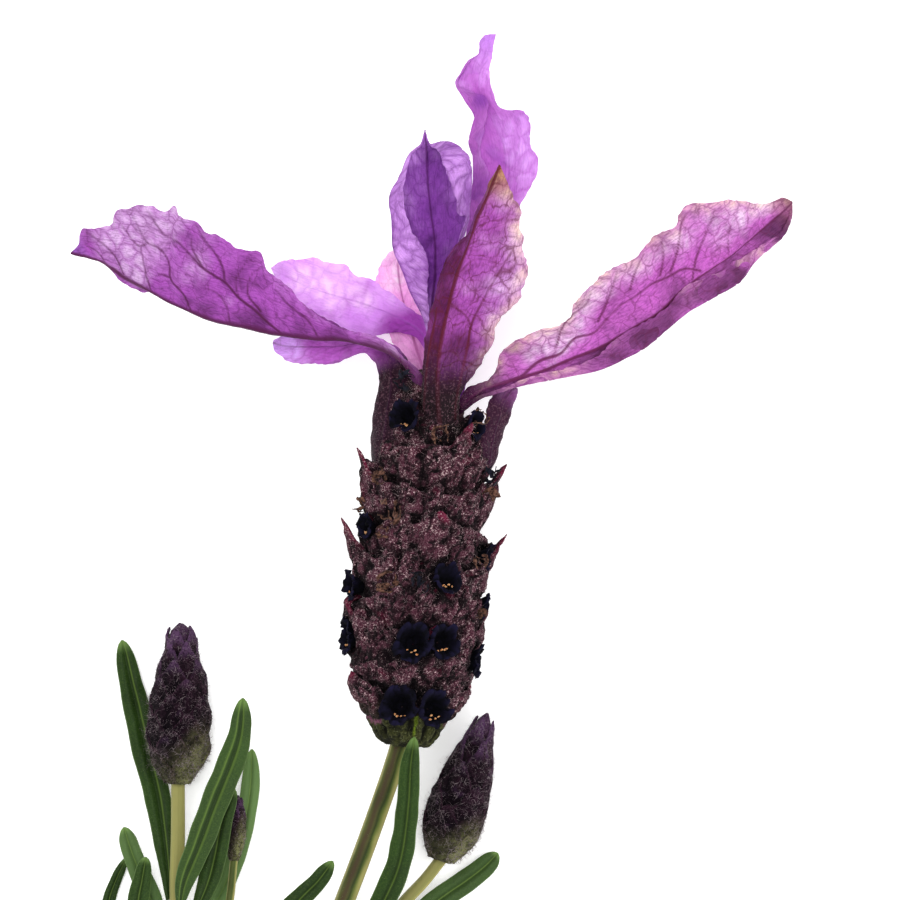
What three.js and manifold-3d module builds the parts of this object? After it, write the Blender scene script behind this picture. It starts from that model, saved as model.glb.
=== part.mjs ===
// Cut sprig of spanish lavender, lying on its side: one open spike with its crown of large
// coloured bracts, two closed spikes in bud, a third small bud, narrow leaves and their stems.
// Millimetres. X runs across the sprig, Y from the cut foot to the crown, Z up from the surface
// that the sprig lies on. A bract or leaf is a thin blade; a whorl is a ring of velvety bracts.

import * as THREE from "three";
import Module from "manifold-3d";

const wasm = await Module();
wasm.setup();

// Driving sizes
const SPIKE_FOOT = new THREE.Vector3(-5.0, -29.5, 7.7); // where the stem enters the open spike
const SPIKE_LEAN = 0.085; // sideways run of the spike's axis for each mm of its length, at its foot
const SPIKE_BEND = 0.0009; // growth of that lean along the axis
const SPIKE_TURN = 14; // degrees that the front rank of whorls is turned from facing straight up
const STEM_RADIUS = 0.95;
const STEM_FOOT_RADIUS = 1.05;
const CUT_Y = -75; // the flat cut across the main stem
const CLEARANCE = 0.3; // gap between neighbouring pieces
const BLADE_THICKNESS = 0.4;
const LEAF_THICKNESS = 0.36;
const WALL = 0.45; // thickness of a whorl's bracts
const RING_BORE = STEM_RADIUS + CLEARANCE + 0.13;
const WHORL_COLUMNS = 20;
const CROWN_FLOOR = 3.4; // height of the shoulder that the crown bracts stand on
const BUD_COLUMNS = 12;
const SCALE_RIM = [1.9, 1.62, 1.36, 1.2]; // rim of a bud scale from its tip to its side, in tiers
const FLORET_MOUTH = 1.3; // radius of an open floret's mouth
const FLORET_TUBE = 0.45; // radius of its tube
const FLORET_FLARE = 1.1; // length over which the tube opens into the mouth
const FLORET_LENGTH = 2.3;
const FLORET_DROP = 1.0; // how far below the next whorl's foot a floret leaves the spike
const FLORET_SPREAD = 19; // degrees from a bract's tip to the floret beside it

// The middle of the sprig's own box, moved to the origin at the end
const BOX_CENTRE_X = -1.94;
const BOX_CENTRE_Y = -16.62;

const RAD = Math.PI / 180;
const UP = new THREE.Vector3(0, 0, 1);
const v = (x, y, z) => new THREE.Vector3(x, y, z);
const lerp = THREE.MathUtils.lerp;

// Closed solids from cross-sections

function signedVolume(points, index) {
  let sum = 0;
  for (let i = 0; i < index.length; i += 3) {
    const [a, b, c] = [points[index[i]], points[index[i + 1]], points[index[i + 2]]];
    sum += a.dot(b.clone().cross(c));
  }
  return sum / 6;
}

function geometryOf(points, index) {
  const facing = signedVolume(points, index) > 0;
  const triangles = [];
  for (let i = 0; i < index.length; i += 3) {
    triangles.push(index[i], index[facing ? i + 1 : i + 2], index[facing ? i + 2 : i + 1]);
  }
  const geometry = new THREE.BufferGeometry();
  geometry.setAttribute("position", new THREE.Float32BufferAttribute(points.flatMap((p) => [p.x, p.y, p.z]), 3));
  geometry.setIndex(triangles);
  return geometry;
}

// Joins rings of equal, even count, each a closed cross-section, into one closed skin. The ends
// are capped by strips across the ring, or the last ring joins the first where loop is true.
function skin(rings, loop = false) {
  const n = rings[0].length;
  const m = rings.length;
  const index = [];
  for (let i = 0; i < (loop ? m : m - 1); i++) {
    for (let j = 0; j < n; j++) {
      const a = i * n + j;
      const b = i * n + ((j + 1) % n);
      const c = ((i + 1) % m) * n + j;
      const d = ((i + 1) % m) * n + ((j + 1) % n);
      index.push(a, b, d, a, d, c);
    }
  }
  if (!loop) {
    for (const [base, flip] of [[0, true], [(m - 1) * n, false]]) {
      const cap = (a, b, c) => index.push(base + a, base + (flip ? c : b), base + (flip ? b : c));
      cap(0, 1, n - 1);
      for (let j = 1; j < n / 2 - 1; j++) {
        cap(j, j + 1, n - j - 1);
        cap(j, n - j - 1, n - j);
      }
      cap(n / 2 - 1, n / 2, n / 2 + 1);
    }
  }
  return geometryOf(rings.flat(), index);
}

function toSolid(geometry) {
  return new wasm.Manifold(
    new wasm.Mesh({
      numProp: 3,
      vertProperties: geometry.attributes.position.array,
      triVerts: Uint32Array.from(geometry.index.array),
    }),
  );
}

function fuse(geometries) {
  const joined = geometries.map(toSolid).reduce((all, piece) => all.add(piece));
  const mesh = joined.getMesh();
  const geometry = new THREE.BufferGeometry();
  geometry.setAttribute("position", new THREE.BufferAttribute(Float32Array.from(mesh.vertProperties), 3));
  geometry.setIndex(Array.from(mesh.triVerts));
  return geometry;
}

// A smooth value through equally spaced controls, at t from 0 to 1
function smooth(values, t) {
  const last = values.length - 1;
  const at = Math.min(t * last, last - 1e-9);
  const i = Math.floor(at);
  const f = at - i;
  const [a, b, c, d] = [-1, 0, 1, 2].map((k) => values[THREE.MathUtils.clamp(i + k, 0, last)]);
  return b + 0.5 * f * (c - a + f * (2 * a - 5 * b + 4 * c - d + f * (3 * (b - c) + d - a)));
}

const column = (rows, k) => rows.map((row) => row[k]);

function smoothPoint(rows, t) {
  return v(smooth(column(rows, 0), t), smooth(column(rows, 1), t), smooth(column(rows, 2), t));
}

// Stems

function stem(points, footRadius, topRadius, steps) {
  const sides = 8;
  const curve = new THREE.CatmullRomCurve3(points.map((p) => v(...p)), false, "centripetal");
  const frames = curve.computeFrenetFrames(steps, false);
  const rings = [];
  for (let i = 0; i <= steps; i++) {
    const centre = curve.getPointAt(i / steps);
    const radius = lerp(footRadius, topRadius, i / steps);
    rings.push(
      Array.from({ length: sides }, (_, j) => {
        const angle = (j / sides) * 2 * Math.PI;
        const side = frames.normals[i].clone().multiplyScalar(Math.cos(angle));
        return side.addScaledVector(frames.binormals[i], Math.sin(angle)).multiplyScalar(radius).add(centre);
      }),
    );
  }
  return rings;
}

function mainStem() {
  const route = [
    [-15.4, CUT_Y, 1.05], [-15.4, -71.5, 1.25], [-15.2, -66.5, 1.8], [-14.6, -60.5, 2.7], [-13.4, -53.5, 3.8],
    [-12.0, -49.0, 4.5], [-10.3, -44.5, 5.3], [-8.6, -40.0, 6.2], [-6.8, -35.0, 7.2], [-5.7, -31.8, 7.6],
  ];
  for (const s of [0.5, 10, 20, 30, 36]) {
    route.push(spikePoint(s, 0, 0).toArray());
  }
  const rings = stem(route, STEM_FOOT_RADIUS, STEM_RADIUS, 30);
  rings[0].forEach((p) => (p.y = CUT_Y));
  return skin(rings);
}

function sideStem(points, footRadius, topRadius) {
  return skin(stem(points, footRadius, topRadius, 12));
}

// Blades: bracts and leaves
// A row is [x, y, z, left width, left lift, right width, right lift]: the midrib's place, and how
// far each half reaches from it and by how many degrees it is lifted towards the viewer. A lift
// past 90 folds that half over the midrib. Left and right are as seen from above, tip ahead.

const acrossAt = (rows, t) => {
  const step = 0.01;
  const ahead = smoothPoint(rows, Math.min(1, t + step)).sub(smoothPoint(rows, Math.max(0, t - step)));
  const right = ahead.clone().cross(UP).normalize();
  return { right, normal: right.clone().cross(ahead).normalize() };
};

function bladeSection(rows, t, thickness) {
  const midrib = smoothPoint(rows, t);
  const { right, normal } = acrossAt(rows, t);
  const [leftWidth, leftLift, rightWidth, rightLift] = [3, 4, 5, 6].map((k) => smooth(column(rows, k), t));
  const half = thickness / 2;
  const leftAway = [-Math.cos(leftLift * RAD), Math.sin(leftLift * RAD)];
  const rightAway = [Math.cos(rightLift * RAD), Math.sin(rightLift * RAD)];
  const leftFace = [leftAway[1], -leftAway[0]];
  const rightFace = [-rightAway[1], rightAway[0]];
  const crease = [leftFace[0] + rightFace[0], leftFace[1] + rightFace[1]];
  const size = Math.max(0.35, Math.hypot(...crease) ** 2 / 2);
  const mid = [crease[0] / size, crease[1] / size];
  const place = (away, width, face, offset) =>
    midrib
      .clone()
      .addScaledVector(right, away[0] * width + face[0] * offset)
      .addScaledVector(normal, away[1] * width + face[1] * offset);
  return [
    place(leftAway, leftWidth, leftFace, 0),
    place(leftAway, leftWidth * 0.6, leftFace, half),
    place([0, 0], 0, mid, half),
    place(rightAway, rightWidth * 0.6, rightFace, half),
    place(rightAway, rightWidth, rightFace, 0),
    place(rightAway, rightWidth * 0.6, rightFace, -half),
    place([0, 0], 0, mid, -half),
    place(leftAway, leftWidth * 0.6, leftFace, -half),
  ];
}

function blade(rows, thickness, steps) {
  return skin(Array.from({ length: steps + 1 }, (_, i) => bladeSection(rows, i / steps, thickness)));
}

const spikeHeight = ([x, y, z, ...rest]) => [x, y, z + SPIKE_FOOT.z, ...rest];

// Crown bracts, with z counted from the spike's axis
const CROWN = {
  bract_front: [
    [-1.2, 3.1, 2.9, 1.2, -20, 1.4, -20],
    [-1.6, 5.6, 3.8, 1.2, -15, 2.8, -10],
    [-1.0, 9.8, 4.9, 1.6, -15, 4.0, 5],
    [-0.4, 13.7, 6.0, 1.9, -40, 5.1, 8],
    [0.9, 17.8, 7.2, 2.4, -50, 6.4, 5],
    [2.4, 22.1, 8.6, 2.4, -78, 5.3, 0],
    [4.0, 25.7, 9.6, 1.4, -80, 2.7, 0],
    [5.0, 28.5, 10.4, 0.2, -60, 0.2, 0],
  ],
  bract_left: [
    [-3.5, 3.3, 1.9, 0.6, -110, 0.6, 20],
    [-4.1, 6.9, 2.7, 0.6, -110, 0.6, 20],
    [-5.8, 9.3, 3.1, 0.6, -120, 0.6, 15],
    [-9.9, 11.2, 3.2, 0.8, -135, 0.8, 12],
    [-16.5, 11.5, 3.0, 4.0, -145, 4.6, 12],
    [-23.5, 12.9, 2.4, 7.4, -145, 7.8, 12],
    [-29.8, 15.6, 1.4, 7.8, -125, 8.9, 12],
    [-34.4, 18.5, 0.4, 5.0, -80, 6.5, 12],
    [-38.0, 19.8, -0.4, 0.3, -60, 0.3, 0],
  ],
  bract_right: [
    [1.0, 3.1, 1.9, 0.6, 0, 0.6, -20],
    [2.2, 5.6, 2.4, 0.8, 0, 0.6, -20],
    [5.9, 7.0, 2.6, 2.7, -10, 0.7, -10],
    [10.5, 8.2, 2.3, 4.5, -10, 1.1, 10],
    [15.0, 9.8, 1.5, 5.9, -10, 2.0, 20],
    [19.0, 12.5, 0.4, 6.2, -8, 2.5, 25],
    [23.0, 15.3, -1.2, 6.8, -5, 2.3, 25],
    [27.3, 18.9, -3.2, 6.7, 0, 2.6, 20],
    [31.1, 21.7, -5.6, 4.1, 0, 2.1, 10],
    [33.9, 25.1, -7.4, 0.4, 0, 0.4, 0],
  ],
  bract_inner: [
    [-1.3, 5.7, 1.9, 0.8, 10, 0.8, 10],
    [-1.7, 10.5, 2.3, 1.2, 25, 1.2, 20],
    [-1.9, 14.4, 2.6, 2.0, 35, 2.2, 25],
    [-1.4, 20.5, 3.0, 4.3, 30, 4.0, 30],
    [-2.1, 25.9, 3.2, 4.1, 30, 4.8, 30],
    [-2.3, 29.0, 3.2, 2.4, 25, 3.6, 25],
    [-2.4, 30.5, 3.1, 0.7, 10, 0.5, 10],
    [-2.5, 32.0, 3.0, 0.2, 0, 0.2, 0],
  ],
  bract_tall: [
    [0.3, 5.0, -1.6, 0.8, 0, 0.8, 0],
    [1.0, 13.0, -2.3, 1.6, 10, 2.0, 10],
    [2.8, 21.5, -2.6, 2.0, 15, 3.2, 10],
    [4.0, 28.0, -3.0, 2.0, 20, 4.8, 10],
    [3.8, 33.0, -3.4, 1.4, 40, 3.2, 10],
    [3.2, 35.6, -3.5, 1.8, 30, 1.2, 0],
    [2.8, 37.6, -3.6, 2.2, 20, 1.0, 0],
    [3.6, 40.2, -3.5, 0.8, 10, 0.7, 0],
    [4.2, 41.6, -3.4, 0.4, 0, 0.4, 0],
  ],
  bract_rear_left: [
    [-2.3, 3.2, -2.2, 0.7, 0, 0.7, 0],
    [-2.7, 5.4, -2.5, 0.8, 0, 0.8, 0],
    [-3.2, 9.8, -3.0, 1.4, 0, 1.4, 0],
    [-5.7, 12.8, -4.0, 1.4, 0, 2.8, 0],
    [-10.0, 14.5, -5.2, 3.0, -5, 4.2, 5],
    [-14.5, 16.2, -6.4, 2.4, -5, 3.0, 5],
    [-17.9, 18.3, -7.45, 0.3, 0, 0.3, 0],
  ],
  bract_rear: [
    [-0.9, 3.0, -3.0, 0.7, 0, 0.7, 0],
    [-2.2, 10.8, -5.0, 3.0, 5, 1.8, 5],
    [-4.0, 15.6, -6.3, 3.0, 5, 2.4, 5],
    [-5.2, 18.6, -7.0, 1.8, 0, 1.4, 0],
    [-5.6, 20.2, -7.3, 0.3, 0, 0.3, 0],
  ],
  bract_low_left: [
    [-7.3, 0.6, 0.2, 1.8, -125, 1.8, 55],
    [-7.5, 5.0, 0.4, 2.0, -120, 2.2, 55],
    [-7.2, 8.3, 0.5, 1.8, -110, 2.0, 40],
    [-8.6, 10.2, 0.2, 1.2, -60, 1.4, 20],
    [-12.5, 10.3, -1.0, 1.2, -10, 1.4, 10],
    [-17.6, 9.4, -3.2, 0.3, 0, 0.3, 0],
  ],
  bract_low_right: [
    [4.1, 0.0, -0.5, 1.6, 55, 1.6, -125],
    [5.5, 3.0, -0.6, 2.0, 50, 2.0, -125],
    [6.3, 5.2, -0.9, 2.0, 40, 1.8, -120],
    [6.8, 7.2, -1.6, 0.3, 20, 0.3, -90],
  ],
};

// Leaves: the midrib's points from stem to tip, and the half width at the widest place
const LEAVES = {
  leaf_left_long: {
    rib: [[-28.0, -45.0, 2.9], [-28.5, -40.0, 1.7], [-29.3, -34.5, 0.7], [-30.4, -30.0, 0.2], [-31.3, -26.0, 0.2],
      [-32.1, -22.5, 0.3], [-32.8, -19.0, 0.5]],
    half: 1.4,
  },
  leaf_left_front: {
    rib: [[-27.0, -45.5, 5.5], [-26.5, -43.0, 5.7], [-25.1, -39.5, 6.3], [-23.5, -35.2, 7.0], [-22.0, -31.5, 7.6],
      [-21.05, -28.5, 8.0], [-20.7, -24.8, 8.2]],
    half: 1.4,
  },
  leaf_left_rear: {
    rib: [[-26.2, -48.5, 2.5], [-23.3, -45.0, 1.3], [-21.9, -41.8, 0.8], [-20.7, -38.0, 0.8], [-20.0, -34.0, 0.9],
      [-19.8, -29.9, 1.2]],
    half: 1.1,
  },
  leaf_left_mid: {
    rib: [[-25.8, -47.0, 4.2], [-24.3, -43.5, 4.4], [-23.5, -40.5, 4.7], [-22.8, -37.0, 5.1], [-21.6, -33.8, 5.6]],
    half: 1.2,
  },
  leaf_left_low: {
    rib: [[-27.9, -50.5, 2.8], [-28.9, -48.0, 2.0], [-29.9, -45.0, 1.4], [-30.8, -42.8, 1.2], [-31.9, -40.0, 1.2],
      [-32.6, -37.7, 1.4]],
    half: 1.15,
  },
  leaf_left_lowest: {
    rib: [[-26.95, -55.9, 3.4], [-29.5, -52.5, 3.4], [-31.0, -49.0, 3.4], [-31.2, -45.5, 3.4], [-30.8, -43.0, 3.5],
      [-30.4, -40.7, 3.6]],
    half: 1.1,
  },
  leaf_left_edge: {
    rib: [[-25.5, -59.7, 2.6], [-29.5, -57.5, 1.3], [-33.0, -53.5, 0.6], [-34.4, -49.0, 0.4], [-34.2, -45.5, 0.4],
      [-33.4, -43.0, 0.5], [-32.3, -40.7, 0.6]],
    half: 0.7,
  },
  leaf_middle: {
    rib: [[-23.9, -56.0, 3.5], [-21.8, -52.3, 3.9], [-19.5, -49.5, 4.4], [-17.0, -47.0, 4.8], [-14.7, -44.6, 5.2],
      [-13.2, -43.1, 5.4], [-11.7, -41.1, 5.6]],
    half: 1.15,
  },
  leaf_spike_front: {
    rib: [[-12.5, -53.0, 5.5], [-10.5, -51.0, 5.8], [-8.5, -48.5, 6.3], [-6.6, -44.9, 7.3], [-5.3, -41.9, 8.4],
      [-4.65, -39.0, 9.2], [-4.2, -35.0, 10.2], [-4.0, -31.5, 10.8], [-3.55, -28.7, 11.3]],
    half: 1.25,
  },
  leaf_spike_rear: {
    rib: [[-14.3, -53.6, 2.2], [-16.2, -51.0, 1.4], [-17.4, -48.5, 0.9], [-18.0, -46.2, 0.8]],
    half: 0.9,
  },
  leaf_right: {
    rib: [[-7.65, -51.2, 2.9], [-4.4, -47.7, 2.0], [-1.0, -44.9, 1.3], [1.6, -43.1, 0.8], [3.4, -41.7, 0.5],
      [4.8, -40.3, 0.4]],
    half: 1.25,
  },
  leaf_low_right: {
    rib: [[-13.3, -63.0, 2.55], [-9.0, -58.5, 1.7], [-3.5, -53.5, 0.9], [1.0, -49.8, 0.5]],
    half: 1.35,
  },
  leaf_low_left: {
    rib: [[-16.5, -62.5, 3.0], [-18.4, -58.5, 4.2], [-19.4, -54.0, 5.6], [-19.8, -50.5, 6.4]],
    half: 1.2,
  },
  leaf_foot_left: {
    rib: [[-17.0, -71.4, 1.2], [-21.0, -69.3, 0.9], [-26.0, -66.0, 0.6], [-31.5, -62.5, 0.5]],
    half: 1.4,
  },
  leaf_foot_right: {
    rib: [[-13.7, -71.0, 1.3], [-9.5, -67.0, 1.0], [-4.5, -62.8, 0.7], [0.2, -59.5, 0.5]],
    half: 1.35,
  },
};
const LEAF_SHAPE = [0.3, 0.7, 0.95, 1.0, 0.9, 0.62, 0.12]; // half width from stem to tip
const LEAF_CHANNEL = 12; // degrees that a leaf's halves rise from its midrib

function leaf({ rib, half }) {
  const rows = rib.map((point, i) => {
    const width = half * smooth(LEAF_SHAPE, i / (rib.length - 1));
    return [...point, width, LEAF_CHANNEL, width, LEAF_CHANNEL];
  });
  return blade(rows, LEAF_THICKNESS, 8);
}

// The open spike
// A place in it is its distance along the axis, its distance from the axis, and an angle that is
// zero towards the viewer and grows to the right.

function spikePoint(along, out, angle) {
  const lean = SPIKE_LEAN + 2 * SPIKE_BEND * along;
  const across = v(1, -lean, 0).normalize();
  return SPIKE_FOOT.clone()
    .add(v(SPIKE_LEAN * along + SPIKE_BEND * along ** 2, along, 0))
    .addScaledVector(across, out * Math.sin(angle * RAD))
    .addScaledVector(UP, out * Math.cos(angle * RAD));
}

// Whorls from the foot: height of the foot and tips along the axis, radius there, and how much
// further the two tips run out as points. Pairs cross each other at right angles.
const WHORLS = [
  { foot: 0.0, tip: 3.1, footRadius: 2.2, tipRadius: 4.2, point: 0.2 },
  { foot: 2.7, tip: 6.6, footRadius: 3.15, tipRadius: 6.2, point: 0.6 },
  { foot: 5.0, tip: 9.6, footRadius: 3.8, tipRadius: 6.9, point: 0.4 },
  { foot: 7.6, tip: 13.0, footRadius: 4.8, tipRadius: 7.0, point: 1.4 },
  { foot: 10.7, tip: 16.1, footRadius: 5.1, tipRadius: 6.9, point: 0.6 },
  { foot: 14.2, tip: 19.6, footRadius: 5.2, tipRadius: 7.1, point: 1.8 },
  { foot: 17.5, tip: 22.9, footRadius: 5.1, tipRadius: 6.8, point: 0.6 },
  { foot: 21.2, tip: 26.6, footRadius: 4.9, tipRadius: 6.5, point: 1.8 },
  { foot: 25.1, tip: 30.5, footRadius: 4.6, tipRadius: 6.0, point: 1.6 },
  { foot: 28.6, tip: 32.6, footRadius: 4.2, tipRadius: 4.5, point: 0.0 },
];
const LIP = [1, 0.62, 0.36, 0.17, 0.05, 0]; // height of a bract's rim from its tip to its side

function whorl(number) {
  const { foot, tip, footRadius, tipRadius, point } = WHORLS[number];
  const above = WHORLS[number + 1];
  const floor = above ? above.foot - foot - CLEARANCE : CROWN_FLOOR;
  const turn = SPIKE_TURN + (number % 2) * 90;
  const quarter = WHORL_COLUMNS / 4;
  const rings = [];
  for (let j = 0; j < WHORL_COLUMNS; j++) {
    const fromTip = Math.min(j % (2 * quarter), 2 * quarter - (j % (2 * quarter)));
    const angle = turn + (j / WHORL_COLUMNS) * 360;
    const extra = fromTip === 0 ? point : 0;
    const rise = lerp(floor + 0.25, tip - foot, LIP[fromTip]) + extra;
    const wallRadius = (height) => footRadius + ((tipRadius - footRadius) * height) / (tip - foot);
    const rim = wallRadius(rise) + extra * 0.5;
    rings.push([
      spikePoint(foot, RING_BORE, angle),
      spikePoint(foot, footRadius, angle),
      spikePoint(foot + rise * 0.5, wallRadius(rise * 0.5) + 0.1, angle),
      spikePoint(foot + rise, rim, angle),
      spikePoint(foot + rise - 0.15, rim - WALL, angle),
      spikePoint(foot + floor, wallRadius(floor) - WALL, angle),
      spikePoint(foot + floor, (RING_BORE + footRadius) / 2, angle),
      spikePoint(foot + floor, RING_BORE, angle),
    ]);
  }
  return skin(rings, true);
}

// Open florets: number of the whorl that each is rooted in, its place, and its upward tilt
const FLORETS = [
  ...[1, 3].flatMap((number) => [0, 180].flatMap((side) => [
    { number, side: side - FLORET_SPREAD, tilt: 12 },
    { number, side: side + FLORET_SPREAD, tilt: 12 },
  ])),
  { number: 5, side: FLORET_SPREAD, tilt: 12 },
  { number: 5, side: 180 - FLORET_SPREAD, tilt: 12 },
  ...[2, 4, 6].flatMap((number) => [
    { number, side: -90 - FLORET_SPREAD, tilt: 12 },
    { number, side: 90 - FLORET_SPREAD, tilt: 12 },
  ]),
  { number: 9, side: -45, tilt: 30 },
  { number: 9, side: 32, tilt: 30 },
];

function ringAbout(origin, direction, radii, distance, sides, twist = 0) {
  const first = direction.clone().cross(v(0.2, 1, 0.1)).normalize();
  const second = direction.clone().cross(first);
  return Array.from({ length: sides }, (_, j) => {
    const angle = ((j + twist) / sides) * 2 * Math.PI;
    const radius = radii[j % radii.length];
    return origin
      .clone()
      .addScaledVector(direction, distance)
      .addScaledVector(first, radius * Math.cos(angle))
      .addScaledVector(second, radius * Math.sin(angle));
  });
}

function floret({ number, side, tilt }) {
  const below = WHORLS[number - 1];
  const above = WHORLS[number + 1];
  const { foot, footRadius } = WHORLS[number];
  const along = above ? above.foot - FLORET_DROP : foot + 1.9;
  const root = footRadius - 0.4;
  const angle = SPIKE_TURN + side;
  const origin = spikePoint(along, root, angle);
  const outward = spikePoint(along, root + 1, angle).sub(origin);
  const onward = spikePoint(along + 1, root, angle).sub(origin);
  const direction = outward.multiplyScalar(Math.cos(tilt * RAD)).addScaledVector(onward, Math.sin(tilt * RAD)).normalize();
  const reach = Math.max(FLORET_LENGTH, below.tipRadius - root + 0.5);
  return skin([
    ringAbout(origin, direction, [FLORET_TUBE * 0.8], 0, 10),
    ringAbout(origin, direction, [FLORET_TUBE], reach - FLORET_FLARE, 10),
    ringAbout(origin, direction, [FLORET_MOUTH, FLORET_MOUTH * 0.8], reach, 10),
    ringAbout(origin, direction, [FLORET_TUBE], reach - 0.6, 10),
  ]);
}

// Closed spikes in bud: tiers of overlapping scales on one tapering form, in crossed pairs

function bud({ foot, top, girth, tiers, phase }) {
  const start = v(...foot);
  const axis = v(...top).sub(start);
  const length = axis.length();
  axis.normalize();
  const pitch = length / (tiers + 0.9);
  const radiusAt = (s) => smooth(girth, Math.min(1, s / length));
  const rings = [ringAbout(start, axis, [girth[0] * 0.7], 0, BUD_COLUMNS, phase)];
  for (let k = 0; k < tiers; k++) {
    const base = k * pitch;
    const next = base + pitch;
    const lip = Array.from({ length: BUD_COLUMNS }, (_, j) => {
      const fromTip = Math.abs(((j + (k % 2) * 3 + 3) % 6) - 3);
      const height = base + pitch * SCALE_RIM[fromTip];
      return ringAbout(start, axis, [radiusAt(height) + 0.08], height, BUD_COLUMNS, phase)[j];
    });
    const belly = base + 0.5 * pitch;
    if (k === 0) {
      rings.push(ringAbout(start, axis, [radiusAt(belly)], belly, BUD_COLUMNS, phase));
    }
    rings.push(lip);
    const inner = k === tiers - 1 ? 0.3 : 0.82;
    rings.push(ringAbout(start, axis, [radiusAt(next) * inner], next, BUD_COLUMNS, phase));
  }
  return skin(rings);
}

const BUDS = {
  bud_left: {
    foot: [-27.2, -33.2, 3.95], top: [-26.85, -17.1, 4.2],
    girth: [1.5, 3.2, 3.45, 3.2, 2.8, 1.75, 1.0], tiers: 7, phase: 0.4,
  },
  bud_right: {
    foot: [-0.9, -40.9, 3.1], top: [3.7, -26.2, 3.4],
    girth: [1.5, 3.0, 3.0, 2.75, 2.2, 1.5, 0.8], tiers: 7, phase: 1.0,
  },
  bud_rear: {
    foot: [-21.6, -41.0, 2.6], top: [-21.3, -34.6, 2.7],
    girth: [0.6, 0.95, 1.05, 0.9, 0.5], tiers: 4, phase: 0.2,
  },
};

const SIDE_STEMS = {
  stem_left: {
    points: [[-17.1, -67.2, 1.9], [-20.5, -63.8, 2.5], [-24.5, -58.0, 3.3], [-26.9, -51.0, 4.0], [-27.3, -45.0, 4.2],
      [-27.2, -38.0, 4.0], [-27.2, -33.6, 3.95]],
    radii: [0.85, 0.7],
  },
  stem_right: {
    points: [[-12.0, -56.85, 3.15], [-10.8, -54.2, 3.1], [-8.9, -50.6, 3.1], [-6.6, -47.6, 3.1], [-4.3, -44.9, 3.1],
      [-2.6, -43.1, 3.1], [-1.25, -41.45, 3.1]],
    radii: [0.7, 0.6],
  },
  stem_rear: {
    points: [[-24.6, -53.4, 3.3], [-23.4, -50.0, 2.9], [-22.2, -46.0, 2.6], [-21.6, -41.35, 2.6]],
    radii: [0.45, 0.4],
  },
};

// The sprig, one named mesh for each piece

const stemMaterial = new THREE.MeshStandardMaterial({ color: 0x8a9a4e, roughness: 0.6, metalness: 0 });
const leafMaterial = new THREE.MeshStandardMaterial({ color: 0x3f6b2c, roughness: 0.65, metalness: 0 });
const bractMaterial = new THREE.MeshStandardMaterial({ color: 0x9b4fb5, roughness: 0.55, metalness: 0 });
const whorlMaterial = new THREE.MeshStandardMaterial({ color: 0x4a2c36, roughness: 0.9, metalness: 0 });
const baseMaterial = new THREE.MeshStandardMaterial({ color: 0x4c5a2a, roughness: 0.85, metalness: 0 });
const budMaterial = new THREE.MeshStandardMaterial({ color: 0x40243c, roughness: 0.9, metalness: 0 });

const sprig = new THREE.Group();

function add(name, geometry, material) {
  const mesh = new THREE.Mesh(geometry, material);
  mesh.name = name;
  sprig.add(mesh);
}

add("stem_main", mainStem(), stemMaterial);
for (const [name, { points, radii }] of Object.entries(SIDE_STEMS)) {
  add(name, sideStem(points, ...radii), stemMaterial);
}
WHORLS.forEach((_, number) => {
  const florets = FLORETS.filter((item) => item.number === number).map(floret);
  const name = "whorl_" + String(number + 1).padStart(2, "0");
  add(name, fuse([whorl(number), ...florets]), number === 0 ? baseMaterial : whorlMaterial);
});
for (const [name, rows] of Object.entries(CROWN)) {
  add(name, blade(rows.map(spikeHeight), BLADE_THICKNESS, 12), bractMaterial);
}
for (const [name, form] of Object.entries(BUDS)) {
  add(name, bud(form), budMaterial);
}
for (const [name, form] of Object.entries(LEAVES)) {
  add(name, leaf(form), leafMaterial);
}

sprig.position.set(-BOX_CENTRE_X, -BOX_CENTRE_Y, 0);

export default sprig;
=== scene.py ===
"""Dressed model of a cut sprig of spanish lavender that lies on its side, seen from straight above.

Lengths are in millimetres in the sprig's own frame, until a mesh is made: X across the sprig, Y towards the
crown, Z up from the surface it lies on. A place read off the picture is in its pixels, ten to a millimetre,
with its height above the surface as the third number.
"""

import logging
import math
from dataclasses import dataclass, field, fields, replace
from enum import Enum
from typing import Any, Sequence

import bpy
import numpy as np
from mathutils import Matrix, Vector, noise


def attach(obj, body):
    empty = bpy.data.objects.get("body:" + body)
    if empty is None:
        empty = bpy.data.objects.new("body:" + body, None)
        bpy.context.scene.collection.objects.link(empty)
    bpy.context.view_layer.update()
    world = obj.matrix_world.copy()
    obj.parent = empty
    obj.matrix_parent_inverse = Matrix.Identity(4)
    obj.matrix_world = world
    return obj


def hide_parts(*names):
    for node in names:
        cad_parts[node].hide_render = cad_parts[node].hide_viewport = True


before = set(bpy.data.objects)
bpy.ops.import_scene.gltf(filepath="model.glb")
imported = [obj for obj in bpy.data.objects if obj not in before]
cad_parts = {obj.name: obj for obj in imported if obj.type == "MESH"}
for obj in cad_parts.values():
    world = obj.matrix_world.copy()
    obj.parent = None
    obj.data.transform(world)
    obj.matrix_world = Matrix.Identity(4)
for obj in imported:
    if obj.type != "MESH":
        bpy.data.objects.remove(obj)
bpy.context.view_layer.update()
LOG = logging.getLogger("lavender")

MM = 0.001
PER_MM = 1000.0
ORIGIN_SHIFT = np.array([1.94, 16.62, 0.0])  # from the picture's centre to the model's origin
PICTURE_CENTRE = 450.0
PIXELS_PER_MM = 10.0
PICTURE_END = (-58.0, -46.0)  # stretch of Y over which the sprig leaves the picture's lower edge
SPIKE_HEIGHT = 7.7  # of the open spike's axis above the surface
CAMERA_HEIGHT = 450.0  # of the camera above that axis
UP = np.array([0.0, 0.0, 1.0])
TONE = "tone"
FUR = "fur"
UV_MM = "millimetres"

Rows = Sequence[Sequence[float]]
Tree = bpy.types.NodeTree
Material = bpy.types.Material


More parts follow.
